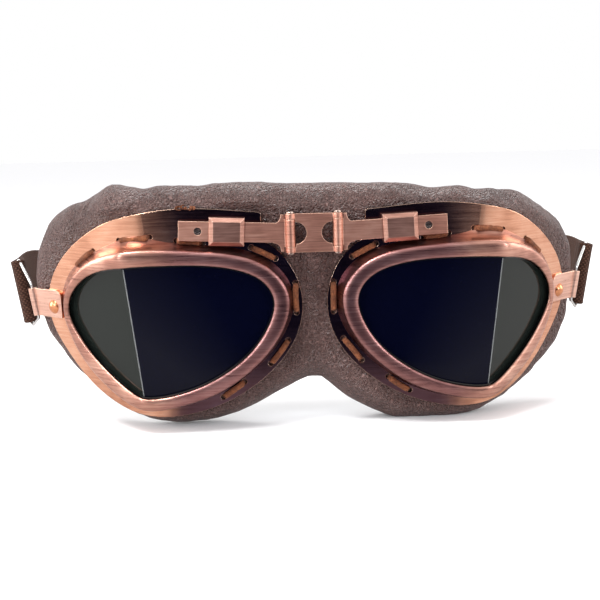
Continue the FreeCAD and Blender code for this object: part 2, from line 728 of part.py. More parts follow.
def strap_section(centre, normal, up):
    """Rectangle of the strap's thickness and width."""
    across = normal * (STRAP_THICKNESS / 2)
    tall = up * (STRAP_WIDTH / 2)
    corners = [centre + across + tall, centre - across + tall, centre - across - tall,
               centre + across - tall]
    return Part.makePolygon(corners + corners[:1])


def strap_front():
    """Sewn loop round the bail's long leg."""
    origin, reach = bail_frame()
    leg = origin + reach * BAIL_REACH + BARREL_AXIS * STRAP_RISE
    edges = u_profile(leg, BARREL_ACROSS, BACK, LOOP_BORE, STRAP_THICKNESS, LOOP_LEG, LOOP_LEG)
    loop = strip_solid(edges, BARREL_AXIS, STRAP_WIDTH)
    loop.translate(BARREL_AXIS * (-STRAP_WIDTH / 2))
    start = leg + BACK * LOOP_LEG + BARREL_ACROSS * (LOOP_BORE + STRAP_THICKNESS / 2)
    return loop, start


def strap_band(rear_y):
    """Strap from the sewn loop, back and down to the straight stretch behind the head."""
    loop, start = strap_front()
    last = V(STRAIGHT_X, rear_y, REAR_Z)
    scale = (rear_y - start.y) / (REAR_Y - start.y)
    centres = [(start, math.degrees(BRACKET_LEAN))]
    for x, y, z, lean in STRAP_COURSE:
        centres.append((V(x, start.y + (y - start.y) * scale, z), lean))
    centres.append((last, 0.0))
    sections = []
    for k, (centre, lean) in enumerate(centres):
        before = centres[k - 1][0] if k else centre - BACK
        after = centres[k + 1][0] if k + 1 < len(centres) else centre - OUTWARD * 5
        if k + 1 == len(centres):
            before = centre + OUTWARD * 5
        plan = V(after.x - before.x, after.y - before.y, 0)
        if k == 0:
            plan = BACK
        normal = V(plan.y, -plan.x, 0)
        normal.normalize()
        angle = math.radians(lean)
        up = UP * math.cos(angle) + normal * math.sin(angle)
        sections.append(strap_section(centre, normal * math.cos(angle) - UP * math.sin(angle), up))
    return loop.fuse(Part.makeLoft(sections, True, False))


def rear_box(x0, x1, y0, y1):
    return Part.makeBox(x1 - x0, y1 - y0, STRAP_WIDTH, V(x0, y0, REAR_Z - STRAP_WIDTH / 2))


def strap_with_slider_end():
    """Outer strap half: its end is folded round the slider's rear plate and sewn."""
    half = STRAP_THICKNESS / 2
    bore = FOLD_GAP / 2
    centre = V(FOLD_X_REAR, REAR_Y - half - bore, REAR_Z - STRAP_WIDTH / 2)
    edges = u_profile(centre, BACK, OUTWARD, bore, STRAP_THICKNESS, STRAIGHT_X - FOLD_X_REAR,
                      FOLD_LENGTH)
    return strap_band(REAR_Y).fuse(strip_solid(edges, UP, STRAP_WIDTH)).removeSplitter()


def inner_layer_y():
    """Middle of the inner strap layer, clear of the outer half's folded end."""
    return REAR_Y - STRAP_THICKNESS * 2 - FOLD_GAP - SLIDER_CLEARANCE


def strap_with_tail():
    """Inner strap half: it passes through the slider and ends in a free tail."""
    half = STRAP_THICKNESS / 2
    y = inner_layer_y()
    tail = rear_box(TAIL_X, STRAIGHT_X, y - half, y + half)
    return strap_band(y).fuse(tail).removeSplitter()


def strap_slider():
    """Flat metal ring round both strap layers; it stands on the ground behind the goggles."""
    half = STRAP_THICKNESS / 2
    rear_inner = REAR_Y - half - FOLD_GAP + (FOLD_GAP - SLIDER_METAL) / 2
    front_inner = inner_layer_y() - half - SLIDER_CLEARANCE
    outer = Part.makeBox(SLIDER_WIDTH, rear_inner - front_inner + 2 * SLIDER_METAL, 2 * REAR_Z,
                         V(SLIDER_X, front_inner - SLIDER_METAL, 0))
    room = STRAP_WIDTH + 2 * SLIDER_CLEARANCE
    slot = Part.makeBox(SLIDER_WIDTH + 2, rear_inner - front_inner, room,
                        V(SLIDER_X - 1, front_inner, REAR_Z - room / 2))
    corners = [e for e in outer.Edges if abs(e.BoundBox.XLength - SLIDER_WIDTH) < 0.01]
    return outer.makeFillet(SLIDER_CORNER, corners).cut(slot)


def lacing():
    """Visible lace stitches; each runs from hole to hole over the flange's front face."""
    stitches = []
    for first_pair, last_pair in STITCHES:
        first, into_first = lace_hole(first_pair)
        last, into_last = lace_hole(last_pair)
        middle = (first + last) * 0.5
        bulge = max(0.0, middle.y - flange_front_y(middle))
        height = LACE_RADIUS + LACE_LIFT + bulge
        corners = [
            first + into_first * FLANGE_THICKNESS, first - into_first * height,
            last - into_last * height, last + into_last * FLANGE_THICKNESS,
        ]
        stitches.append(wire_along(rounded_path(corners, LACE_BEND, False), LACE_RADIUS))
    return Part.makeCompound(stitches)


def mask_curve():
    right = [flat(pair) for pair in MASK]
    left = [V(-p.x, 0, p.z) for p in reversed(right)]
    return closed_curve([flat(MASK_TOP)] + right + [flat(MASK_NOTCH)] + left)


def cup_room(inset):
    """Everything on the +X side of the gap beside the nose."""
    x_front = CUP_FRONT_X + inset
    x_rear = CUP_REAR_X + inset
    y_rear = FLANGE_Y + MASK_DEPTH
    corners = [V(x_front, FLANGE_Y, 0), V(x_rear, y_rear, 0), V(x_rear + 1, FAR, 0),
               V(FAR, FAR, 0), V(FAR, FLANGE_Y, 0)]
    return Part.Face(Part.makePolygon(corners + corners[:1])).extrude(UP * FAR)


def nose_room(inset):
    half = NOSE_HALF_WIDTH - inset
    return Part.makeBox(2 * half, FAR, FAR, V(-half, 0, 0))


def mask_pieces(room, holes, front):
    """Leather cover, foam core and lining of one stretch of the padded mask."""
    start = FLANGE_THICKNESS + front
    body = prism(mask_curve()).common(room(0.0))
    core = prism(grown(mask_curve(), -SKIN)).common(room(SKIN))
    if holes:
        body = body.cut(prism(eye_curve(1.0)))
        core = core.cut(prism(grown(eye_curve(1.0), SKIN)))
    ground = Part.makeBox(2 * FAR, 2 * FAR, FAR, V(-FAR, 0, SKIN))
    depth = MASK_DEPTH - front - SKIN
    foam = core.common(ground).common(flange_layer(start + SKIN, depth - SKIN))
    cover = body.common(flange_layer(start, depth)).cut(foam)
    lining = body.common(flange_layer(start + depth, SKIN))
    return cover, foam, lining


def save(name, shape):
    moved = shape.copy()
    moved.translate(V(0, -MIDDLE_Y, 0))
    if len(moved.Solids) == 1:
        moved = moved.Solids[0]
    print(name, "solids", len(moved.Solids), "valid", moved.isValid(),
          "volume", round(moved.Volume, 1))
    moved.exportStep("parts/" + name + ".step")


def save_pair(name, shape):
    save(name + "_right", shape)
    save(name + "_left", mirrored(shape))


def main():
    os.makedirs("parts", exist_ok=True)
    save("bridge_link", bridge_link())
    save_pair("hinge_pin", hinge_pin())
    save_pair("bridge_bar", bridge_bar())
    save_pair("bar_stop_screw", bar_stop_screw())
    save_pair("bar_keeper", bar_keeper())
    save_pair("lens_rim", lens_rim())
    save_pair("eye_flange", eye_flange())
    save_pair("lens_gasket", lens_gasket())
    save_pair("front_lens", lens_pane("front"))
    save_pair("side_lens", lens_pane("side"))
    save_pair("lens_retainer", lens_retainer())
    save_pair("lacing", lacing())
    save_pair("strap_bracket", strap_bracket())
    save_pair("bracket_rivet", bracket_rivet())
    save_pair("strap_bail", strap_bail())
    cover, foam, lining = mask_pieces(cup_room, True, 0.0)
    save_pair("mask_cover", cover)
    save_pair("mask_foam", foam)
    save_pair("mask_lining", lining)
    cover, foam, lining = mask_pieces(nose_room, False, NOSE_GAP_Y)
    save("nose_cover", cover)
    save("nose_foam", foam)
    save("nose_lining", lining)
    save("head_strap_left", mirrored(strap_with_slider_end()))
    save("strap_slider", mirrored(strap_slider()))
    save("head_strap_right", strap_with_tail())


main()
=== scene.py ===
"""Looks for the split-lens riding goggles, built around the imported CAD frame.

Metres, +Z up, lenses facing -Y. The sheet coordinates used for the mask are in millimetres:
u runs across the eye cup and round the temple bend, a runs up along the fold line, and depth is
counted back from the flange's front face.
"""
import bmesh
import bpy
import json
import math
import numpy as np
from mathutils import Matrix, Vector, noise


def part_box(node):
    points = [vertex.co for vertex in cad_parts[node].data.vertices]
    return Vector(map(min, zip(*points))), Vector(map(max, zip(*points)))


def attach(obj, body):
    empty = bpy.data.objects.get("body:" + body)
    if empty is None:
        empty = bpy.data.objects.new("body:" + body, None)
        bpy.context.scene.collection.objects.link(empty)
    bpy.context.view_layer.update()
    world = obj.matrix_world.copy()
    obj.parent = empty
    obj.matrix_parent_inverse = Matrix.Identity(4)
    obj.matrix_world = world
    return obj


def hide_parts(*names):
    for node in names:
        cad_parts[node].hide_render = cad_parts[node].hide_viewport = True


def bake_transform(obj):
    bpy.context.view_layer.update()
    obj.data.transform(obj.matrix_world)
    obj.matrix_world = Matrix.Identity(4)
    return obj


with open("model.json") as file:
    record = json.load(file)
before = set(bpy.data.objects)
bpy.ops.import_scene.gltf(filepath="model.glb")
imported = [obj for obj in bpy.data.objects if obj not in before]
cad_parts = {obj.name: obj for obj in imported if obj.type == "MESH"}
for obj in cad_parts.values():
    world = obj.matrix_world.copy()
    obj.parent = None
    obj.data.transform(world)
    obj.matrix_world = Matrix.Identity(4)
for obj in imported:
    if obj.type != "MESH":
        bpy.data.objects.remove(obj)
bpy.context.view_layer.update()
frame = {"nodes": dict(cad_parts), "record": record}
MM = 0.001
SIDES = (("left", -1.0), ("right", 1.0))

# --- places read from the frame (millimetres)
FLANGE_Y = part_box("eye_flange_right")[0].y / MM
PIN_X = sum(corner.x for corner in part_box("hinge_pin_right")) / 2 / MM

# --- bend of the flange and the mask round the temple, as in the CAD
FOLD_X = 72.0
FOLD_Z = 41.5
LEAN = math.radians(6.5)
BEND = math.radians(42.0)
RADIUS = 28.0
BEND_START = -RADIUS * math.tan(BEND / 2)
BEND_END = BEND_START + RADIUS * BEND

# --- weave of the strap's webbing (millimetres)
RIB_PITCH = 0.9
WEFT_PITCH = 1.3


# ---------------------------------------------------------------- mesh helpers

def link(obj):
    bpy.context.scene.collection.objects.link(obj)
    return obj


def mesh_object(name, points, faces):
    """Smooth-shaded object in the scene, from points in metres."""
    mesh = bpy.data.meshes.new(name)
    mesh.from_pydata([tuple(p) for p in points], [], faces)
    mesh.validate()
    mesh.update()
    mesh.shade_smooth()
    return link(bpy.data.objects.new(name, mesh))


def grid_faces(rows, columns, wrap_rows=False, wrap_columns=False):
    """Quads of a grid whose point (i, j) has index i * columns + j."""
    faces = []
    for i in range(rows if wrap_rows else rows - 1):
        for j in range(columns if wrap_columns else columns - 1):
            k = (i + 1) % rows
            m = (j + 1) % columns
            faces.append((i * columns + j, k * columns + j, k * columns + m, i * columns + m))
    return faces


def turned_over(faces):
    return [tuple(reversed(face)) for face in faces]


def tube_faces(along, around):
    """Faces of a tube of rings, closed at both ends and facing outwards."""
    first = tuple(range(around))
    last = tuple(reversed(range((along - 1) * around, along * around)))
    return turned_over(grid_faces(along, around, wrap_columns=True) + [first, last])


def moved_on(faces, base):
    """The same faces for points that start at another index."""
    return [tuple(base + i for i in face) for face in faces]


def smooth_step(value, low, high):
    t = np.clip((value - low) / (high - low), 0.0, 1.0)
    return t * t * (3.0 - 2.0 * t)


def hump(value, middle, width):
    """Bell curve: 1 at the middle, fading over the width."""
    return np.exp(-((value - middle) / width) ** 2)


def quarter_round(distance, radius):
    """Height of a rounded edge, from 0 at the edge to 1 at the radius and beyond."""
    return np.sqrt(np.clip(1 - (1 - np.clip(distance / radius, 0, 1)) ** 2, 0, 1))


def curve_point(a, b, c, d, t):
    """Point of the smooth curve from b to c, with a before and d after them."""
    return 0.5 * (2 * b + (c - a) * t + (2 * a - 5 * b + 4 * c - d) * t ** 2
                  + (3 * b - a - 3 * c + d) * t ** 3)


def closed_spline(points, count):
    """Evenly spaced points of a smooth closed curve through the given ones."""
    p = np.array(points, float)
    steps = np.linspace(0, 1, 12, endpoint=False)
    out = []
    for k in range(len(p)):
        corners = [p[(k + s) % len(p)] for s in (-1, 0, 1, 2)]
        out += [curve_point(*corners, t) for t in steps]
    closed = np.array(out + out[:1])
    length = np.concatenate([[0], np.cumsum(np.linalg.norm(np.diff(closed, axis=0), axis=1))])
    at = np.linspace(0, length[-1], count, endpoint=False)
    return np.stack([np.interp(at, length, closed[:, i]) for i in range(2)], axis=1)


# ---------------------------------------------------------------- materials

def new_material(name):
    material = bpy.data.materials.new(name)
    material.use_nodes = True
    tree = material.node_tree
    return material, tree, tree.nodes["Principled BSDF"]


def add(tree, kind, **values):
    """New node, with the values of its inputs or its own settings."""
    node = tree.nodes.new(kind)
    for key, value in values.items():
        if key in node.inputs:
            node.inputs[key].default_value = value
        else:
            setattr(node, key, value)
    return node


def feed(tree, value, socket):
    """Link an output to a socket, or set a number or colour on it."""
    if isinstance(value, bpy.types.NodeSocket):
        tree.links.new(value, socket)
    elif isinstance(value, tuple):
        socket.default_value = (*value, 1.0)
    else:
        socket.default_value = value


def ramp(tree, source, stops):
    """Colour ramp over a value; stops are (place, colour)."""
    node = tree.nodes.new("ShaderNodeValToRGB")
    elements = node.color_ramp.elements
    while len(elements) < len(stops):
        elements.new(0.5)
    for element, (place, colour) in zip(elements, stops):
        element.position = place
        element.color = (*colour, 1.0)
    tree.links.new(source, node.inputs["Fac"])
    return node.outputs["Color"]


def grey(value):
    return (value, value, value)


def object_coordinates(tree, scale=(1, 1, 1)):
    where = tree.nodes.new("ShaderNodeTexCoord")
    mapping = tree.nodes.new("ShaderNodeMapping")
    mapping.inputs["Scale"].default_value = scale
    tree.links.new(where.outputs["Object"], mapping.inputs["Vector"])
    return mapping.outputs["Vector"]


def noise_of(tree, vector, scale, detail, roughness):
    node = add(tree, "ShaderNodeTexNoise", Scale=scale, Detail=detail, Roughness=roughness)
    tree.links.new(vector, node.inputs["Vector"])
    return node.outputs["Fac"]


def mixed(tree, factor, a, b, blend="MIX"):
    """Colour between a and b, each an output or a colour."""
    node = tree.nodes.new("ShaderNodeMix")
    node.data_type = "RGBA"
    node.blend_type = blend
    for value, socket in ((factor, node.inputs[0]), (a, node.inputs[6]), (b, node.inputs[7])):
        feed(tree, value, socket)
    return node.outputs[2]


def computed(tree, operation, *values, clamp=False):
    """Result of a Math node on outputs or numbers."""
    node = tree.nodes.new("ShaderNodeMath")
    node.operation = operation
    node.use_clamp = clamp
    for value, socket in zip(values, node.inputs):
        feed(tree, value, socket)
    return node.outputs[0]


def weighted(tree, a, share_a, b, share_b):
    """Sum of two outputs, each times its share."""
    return computed(tree, "ADD", computed(tree, "MULTIPLY", a, share_a),
                    computed(tree, "MULTIPLY", b, share_b))


def varied_roughness(tree, shader, source, spread, base):
    """Roughness that wanders with a value, from the base up or down by the spread."""
    feed(tree, computed(tree, "ADD", computed(tree, "MULTIPLY", source, spread), base),
         shader.inputs["Roughness"])


def plain_settings(shader, **values):
    """Numbers and colours that are the same all over the surface."""
    for name, value in values.items():
        shader.inputs[name.replace("_", " ")].default_value = value


def bumped(tree, shader, height, strength, distance, normal=None):
    bump = add(tree, "ShaderNodeBump", Strength=strength, Distance=distance)
    tree.links.new(height, bump.inputs["Height"])
    if normal is not None:
        tree.links.new(normal, bump.inputs["Normal"])
    tree.links.new(bump.outputs["Normal"], shader.inputs["Normal"])


def separate(tree, vector):
    split = tree.nodes.new("ShaderNodeSeparateXYZ")
    tree.links.new(vector, split.inputs[0])
    return split


EDGE_GAIN = 6.0


def edge_wear_and_highlight(tree, radius):
    """Rounded shading normal and a mask that is bright along the piece's edges: worn bare copper on
    the copper parts, a painted highlight on the lens panes.
    """
    bevel = add(tree, "ShaderNodeBevel", Radius=radius, samples=6)
    plain = tree.nodes.new("ShaderNodeNewGeometry")
    dot = add(tree, "ShaderNodeVectorMath", operation="DOT_PRODUCT")
    tree.links.new(bevel.outputs["Normal"], dot.inputs[0])
    tree.links.new(plain.outputs["Normal"], dot.inputs[1])
    turned = computed(tree, "SUBTRACT", 1.0, dot.outputs["Value"])
    return bevel.outputs["Normal"], computed(tree, "MULTIPLY", turned, EDGE_GAIN, clamp=True)


# distance from the nose, in metres, over which the painted dark reflection near the nose gives way
# to bare copper
PAINTED_REFLECTION_FROM = 0.058
PAINTED_REFLECTION_TO = 0.070
PAINTED_REFLECTION_WANDER = 0.012
STREAK_SCALE = (60, 60, 1500)
FINE_STREAK_SCALE = (200, 200, 5200)
WORN_COPPER = (0.95, 0.66, 0.5)


def brushed_copper(name, dark, mid, light, rough, streak=1.0, painted_nose_reflection=None):
    """Antique copper plate: streaks along the brushing, a painted dark reflection towards the nose,
    bright worn edges.
    """
    material, tree, shader = new_material(name)
    streaks = noise_of(tree, object_coordinates(tree, STREAK_SCALE), 1.0, 6.0, 0.7)
    fine = noise_of(tree, object_coordinates(tree, FINE_STREAK_SCALE), 1.0, 3.0, 0.6)
    clouds = noise_of(tree, object_coordinates(tree), 55.0, 3.0, 0.55)
    tone = weighted(tree, streaks, 0.55, clouds, 0.45)
    colour = ramp(tree, tone, [(0.3, dark), (0.5, mid), (0.7, light)])
    if painted_nose_reflection:
        # painted reflection: towards the nose the colour is darkened and tinted blue, standing in
        # for the dark room the copper reflects there
        from_nose = computed(tree, "ABSOLUTE",
                             separate(tree, object_coordinates(tree)).outputs["X"])
        from_nose = weighted(tree, from_nose, 1.0, clouds, PAINTED_REFLECTION_WANDER)
        painted_reflection_tint = ramp(tree, from_nose, [(PAINTED_REFLECTION_FROM, painted_nose_reflection), (PAINTED_REFLECTION_TO, grey(1.0))])
        colour = mixed(tree, 1.0, colour, painted_reflection_tint, "MULTIPLY")
    normal, edge = edge_wear_and_highlight(tree, 0.0004)
    colour = mixed(tree, computed(tree, "MULTIPLY", edge, 0.75), colour, WORN_COPPER)
    tree.links.new(colour, shader.inputs["Base Color"])
    shader.inputs["Metallic"].default_value = 1.0
    varied_roughness(tree, shader, streaks, 0.22, rough - 0.11)
    bumped(tree, shader, weighted(tree, streaks, 1.0, fine, 0.5), 0.12 * streak, 0.0002, normal)
    return material


def polished_metal(name, colour, rough):
    """Smooth metal with faint clouds in its tone and gloss."""
    material, tree, shader = new_material(name)
    clouds = noise_of(tree, object_coordinates(tree), 400.0, 4.0, 0.6)
    dark = tuple(c * 0.72 for c in colour)
    tree.links.new(ramp(tree, clouds, [(0.35, dark), (0.62, colour)]), shader.inputs["Base Color"])
    shader.inputs["Metallic"].default_value = 1.0
    varied_roughness(tree, shader, clouds, 0.12, rough - 0.05)
    normal, _ = edge_wear_and_highlight(tree, 0.0003)
    bumped(tree, shader, clouds, 0.05, 0.0001, normal)
    return material


def smoke_lens(name, tint, level, alpha):
    """Dark smoke pane with a glossy face, a painted highlight along its cut edge and a trace of
    dust.
    """
    material, tree, shader = new_material(name)
    dust = noise_of(tree, object_coordinates(tree), 900.0, 5.0, 0.7)
    specks = ramp(tree, dust, [(0.66, grey(0.0)), (0.85, grey(1.0))])
    colour = mixed(tree, computed(tree, "MULTIPLY", specks, 0.04), tint, (0.3, 0.3, 0.3))
    _, edge = edge_wear_and_highlight(tree, 0.00025)
    # painted highlight: the pane's edges are coloured pale grey in place of the glint on its
    # polished cut edge
    colour = mixed(tree, edge, colour, (0.4, 0.41, 0.41))
    tree.links.new(colour, shader.inputs["Base Color"])
    plain_settings(shader, Roughness=0.03, Specular_IOR_Level=level, Alpha=alpha)
    return material


def grained(name, grain, stops, bump, **settings):
    """Dull or glossy material whose fine grain varies its colour and lifts its surface."""
    material, tree, shader = new_material(name)
    fuzz = noise_of(tree, object_coordinates(tree), *grain)
    tree.links.new(ramp(tree, fuzz, stops), shader.inputs["Base Color"])
    plain_settings(shader, **settings)
    bumped(tree, shader, fuzz, *bump)
    return material


PEBBLE_SCALE = 880.0
CREASE_SCALE = 400.0
GRAIN_WARP = 0.0016


def leather(name):
    """Red-brown grained leather: small glossy pebbles with paler worn creases between them."""
    material, tree, shader = new_material(name)
    where = object_coordinates(tree)
    warp = noise_of(tree, where, 420.0, 3.0, 0.6)
    warped = add(tree, "ShaderNodeVectorMath", operation="MULTIPLY_ADD")
    tree.links.new(warp, warped.inputs[0])
    warped.inputs[1].default_value = (GRAIN_WARP, GRAIN_WARP, GRAIN_WARP)
    tree.links.new(where, warped.inputs[2])
    gaps = []
    for scale in (PEBBLE_SCALE, CREASE_SCALE):
        cells = add(tree, "ShaderNodeTexVoronoi", feature="DISTANCE_TO_EDGE", Scale=scale)
        tree.links.new(warped.outputs["Vector"], cells.inputs["Vector"])
        gaps.append(cells.outputs["Distance"])
    cell = ramp(tree, gaps[0], [(0.02, grey(0.0)), (0.22, grey(0.8)), (0.42, grey(1.0))])
    crease = ramp(tree, gaps[1], [(0.0, grey(0.0)), (0.10, grey(0.8)), (0.28, grey(1.0))])
    clouds = noise_of(tree, where, 38.0, 4.0, 0.6)
    grain = computed(tree, "MULTIPLY", cell, crease)
    tops = ramp(tree, clouds, [(0.32, (0.036, 0.014, 0.012)), (0.68, (0.078, 0.034, 0.030))])
    worn = ramp(tree, clouds, [(0.32, (0.135, 0.066, 0.056)), (0.68, (0.25, 0.138, 0.12))])
    tree.links.new(mixed(tree, grain, worn, tops), shader.inputs["Base Color"])
    varied_roughness(tree, shader, grain, -0.17, 0.44)
    plain_settings(shader, Specular_IOR_Level=0.8)
    bumped(tree, shader, weighted(tree, cell, 0.4, crease, 0.7), 1.0, 0.0036)
    return material


def webbing(name):
    """Brown woven elastic: ribs along the strap crossed by staggered weft, a little fuzzy."""
    material, tree, shader = new_material(name)
    layout = add(tree, "ShaderNodeUVMap", uv_map="strap")
    split = separate(tree, layout.outputs["UV"])
    row = computed(tree, "DIVIDE", split.outputs["Y"], RIB_PITCH)
    stagger = computed(tree, "MULTIPLY", computed(tree, "FLOOR", row), math.pi)
    rib = computed(tree, "SINE", computed(tree, "MULTIPLY", row, math.pi))
    rib = computed(tree, "ABSOLUTE", rib)
    run = computed(tree, "MULTIPLY", split.outputs["X"], math.tau / WEFT_PITCH)
    weft = computed(tree, "SINE", computed(tree, "ADD", run, stagger))
    weft = computed(tree, "MULTIPLY_ADD", weft, 0.5, 0.5)
    fuzz = noise_of(tree, object_coordinates(tree), 1700.0, 5.0, 0.7)
    tone = weighted(tree, computed(tree, "MULTIPLY", rib, weft), 0.3, fuzz, 0.8)
    colour = ramp(tree, tone, [(0.3, (0.012, 0.005, 0.003)), (0.5, (0.045, 0.019, 0.012)),
                               (0.85, (0.13, 0.060, 0.040))])
    tree.links.new(colour, shader.inputs["Base Color"])
    plain_settings(shader, Roughness=0.9, Specular_IOR_Level=0.15, Sheen_Weight=0.04,
                   Sheen_Roughness=0.5)
    bumped(tree, shader, tone, 0.8, 0.0005)
    return material


def suede(name):
    """Rust-brown suede with a blotchy nap."""
    material, tree, shader = new_material(name)
    fuzz = noise_of(tree, object_coordinates(tree), 1500.0, 6.0, 0.75)
    blotch = noise_of(tree, object_coordinates(tree), 260.0, 3.0, 0.6)
    colour = ramp(tree, weighted(tree, fuzz, 0.6, blotch, 0.4),
                  [(0.33, (0.038, 0.010, 0.004)), (0.5, (0.155, 0.045, 0.016)),
                   (0.68, (0.36, 0.12, 0.045))])
    tree.links.new(colour, shader.inputs["Base Color"])
    plain_settings(shader, Roughness=0.95, Sheen_Weight=0.12, Sheen_Tint=(0.9, 0.5, 0.3, 1.0))
    bumped(tree, shader, fuzz, 0.8, 0.0006)
    return material


# the rim's colour is darkened and tinted blue towards the nose, a painted reflection of the dark
# room ahead
COPPER = brushed_copper("antique_copper_rim", (0.16, 0.07, 0.055), (0.52, 0.26, 0.20),
                        (0.84, 0.52, 0.40), 0.30, streak=1.4, painted_nose_reflection=(0.66, 0.62, 0.76))
BRIDGE_COPPER = brushed_copper("antique_copper_bridge", (0.30, 0.120, 0.085), (0.66, 0.32, 0.235),
                               (0.88, 0.52, 0.40), 0.40, streak=1.8)
KEEPER_COPPER = brushed_copper("antique_copper_keeper", (0.22, 0.09, 0.07), (0.50, 0.26, 0.20),
                               (0.82, 0.48, 0.38), 0.34, streak=1.2)
# the flange's nose side is painted near-black navy, a painted reflection of the dark room ahead
FLANGE_COPPER = brushed_copper("antique_copper_flange", (0.42, 0.18, 0.11), (0.78, 0.40, 0.26),
                               (0.95, 0.60, 0.43), 0.17, streak=0.6,
                               painted_nose_reflection=(0.13, 0.13, 0.24))
BRACKET_COPPER = brushed_copper("antique_copper_bracket", (0.50, 0.26, 0.20), (0.78, 0.48, 0.38),
                                (0.93, 0.66, 0.55), 0.30, streak=1.2)
RIVET_COPPER = polished_metal("polished_copper", (0.80, 0.34, 0.17), 0.24)
PIN_METAL = polished_metal("worn_pin_metal", (0.55, 0.42, 0.36), 0.22)
WIRE = polished_metal("bright_wire", (0.72, 0.71, 0.70), 0.18)
DARK_METAL = polished_metal("dark_metal", (0.10, 0.085, 0.08), 0.3)
SCREW_METAL = polished_metal("screw_metal", (0.2, 0.17, 0.16), 0.25)
LENS = smoke_lens("smoke_lens", (0.0008, 0.0011, 0.0060), 0.14, 0.998)
SIDE_LENS = smoke_lens("smoke_side_lens", (0.009, 0.0115, 0.010), 0.24, 0.985)
RUBBER = grained("black_rubber", (1500.0, 3.0, 0.6), [(0.3, grey(0.003)), (0.7, grey(0.008))],
                 (0.08, 0.0001), Roughness=0.14, Specular_IOR_Level=0.5)
LEATHER = leather("brown_leather")
CLOTH = {"Roughness": 0.95, "Specular_IOR_Level": 0.15, "Sheen_Weight": 0.08,
         "Sheen_Roughness": 0.6}
FELT = grained("felt_lining", (1800.0, 6.0, 0.75),
               [(0.35, (0.012, 0.009, 0.008)), (0.65, (0.05, 0.036, 0.03))], (0.6, 0.0005), **CLOTH)
WEBBING = webbing("elastic_webbing")
SUEDE = suede("suede_lace")
THREAD = grained("brown_thread", (3000.0, 6.0, 0.75),
                 [(0.35, (0.05, 0.025, 0.015)), (0.65, (0.13, 0.07, 0.045))], (0.6, 0.0005),
                 **CLOTH)

CAD_LOOKS = {
    "bridge_link": BRIDGE_COPPER, "hinge_pin": PIN_METAL, "bridge_bar": BRIDGE_COPPER,
    "bar_stop_screw": SCREW_METAL, "bar_keeper": KEEPER_COPPER, "lens_rim": COPPER,
    "eye_flange": FLANGE_COPPER, "lens_gasket": RUBBER, "front_lens": LENS, "side_lens": SIDE_LENS,
    "lens_retainer": DARK_METAL, "strap_bracket": BRACKET_COPPER, "bracket_rivet": RIVET_COPPER,
    "strap_bail": WIRE, "strap_slider": DARK_METAL,
}


SHARP_ANGLE = math.radians(32)


def dress_cad():
    """Give each CAD node that stays in view its material and smooth shading between sharp edges."""
    for name, obj in frame["nodes"].items():
        base = name.removesuffix("_left").removesuffix("_right")
        if base not in CAD_LOOKS:
            continue
        obj.data.materials.clear()
        obj.data.materials.append(CAD_LOOKS[base])
        for polygon in obj.data.polygons:
            polygon.material_index = 0
        obj.data.shade_smooth()
        obj.data.set_sharp_from_angle(angle=SHARP_ANGLE)


# ---------------------------------------------------------------- mask

# Front-view outlines in millimetres, as (x, z): the rim's outer edge, the flange's outer edge and
# the mask's outer edge, the same shapes as in the CAD.
RIM = [
    (99.6, 41.5), (99.3, 54.0), (92.7, 64.0), (82.0, 70.0), (62.5, 72.3), (46.0, 71.3),
    (27.0, 68.5), (16.5, 63.0), (10.5, 53.0), (12.5, 41.5), (25.5, 25.0), (39.0, 16.0),
    (54.0, 11.3), (62.5, 10.0), (71.8, 11.0), (80.5, 15.5), (95.0, 30.5),
]
FLANGE = [
    (20.3, 84.8), (28.5, 86.0), (54.0, 87.3), (66.0, 86.0), (78.4, 83.2), (89.8, 77.2),
    (100.0, 68.2), (106.9, 57.0), (108.2, 42.0), (101.4, 28.2), (93.3, 18.3), (84.2, 11.2),
    (70.0, 6.0), (54.0, 5.4), (36.0, 10.2), (19.0, 21.0), (9.0, 33.0), (4.8, 47.0),
    (8.0, 62.0), (17.0, 72.6), (20.3, 76.0),
]
MASK = [
    (25.0, 95.6), (50.0, 95.0), (75.0, 94.3), (89.0, 91.0), (100.5, 84.5), (108.0, 75.0),
    (112.3, 63.5), (113.0, 51.5), (110.8, 39.0), (106.5, 28.0), (99.0, 18.0), (87.0, 9.0),
    (74.0, 3.3), (60.0, -0.3), (47.0, -0.3), (35.0, 2.3), (24.0, 6.6), (12.0, 13.5),
]
MASK_TOP = (0.0, 95.6)
MASK_NOTCH = (0.0, 18.0)
EYE_CENTRE = (56.0, 43.0)
OUTLINE_POINTS, HOLE_POINTS, FLANGE_POINTS = 420, 240, 300

# grid of one half: rays round the eye, points along each ray, the share of the rays that end on
# the nose line, and the columns of leather turned in over the rear edge
AROUND = 330
ACROSS = 50
NOSE_SHARE = 0.36
TURN_IN = 9

# padding
FLANGE_METAL = 1.0
HALF_THICKNESS = 8.0
MIDDLE_DEPTH = FLANGE_METAL + HALF_THICKNESS
EDGE_ROUNDING = 9.0
BACK_ROUNDING = 7.0
REAR_LIP = 0.15
HEM_GAP = 0.3
FLANGE_CLEARANCE = 0.12
PUFF, NOSE_PUFF = 1.5, 0.9
NOSE_ROOM = 2.4
GATHER_DEPTH = 0.45
BROW_GATHER_DEPTH = 0.9
CREASE_DEPTH = 2.0
CREASE_WIDTH = 2.6

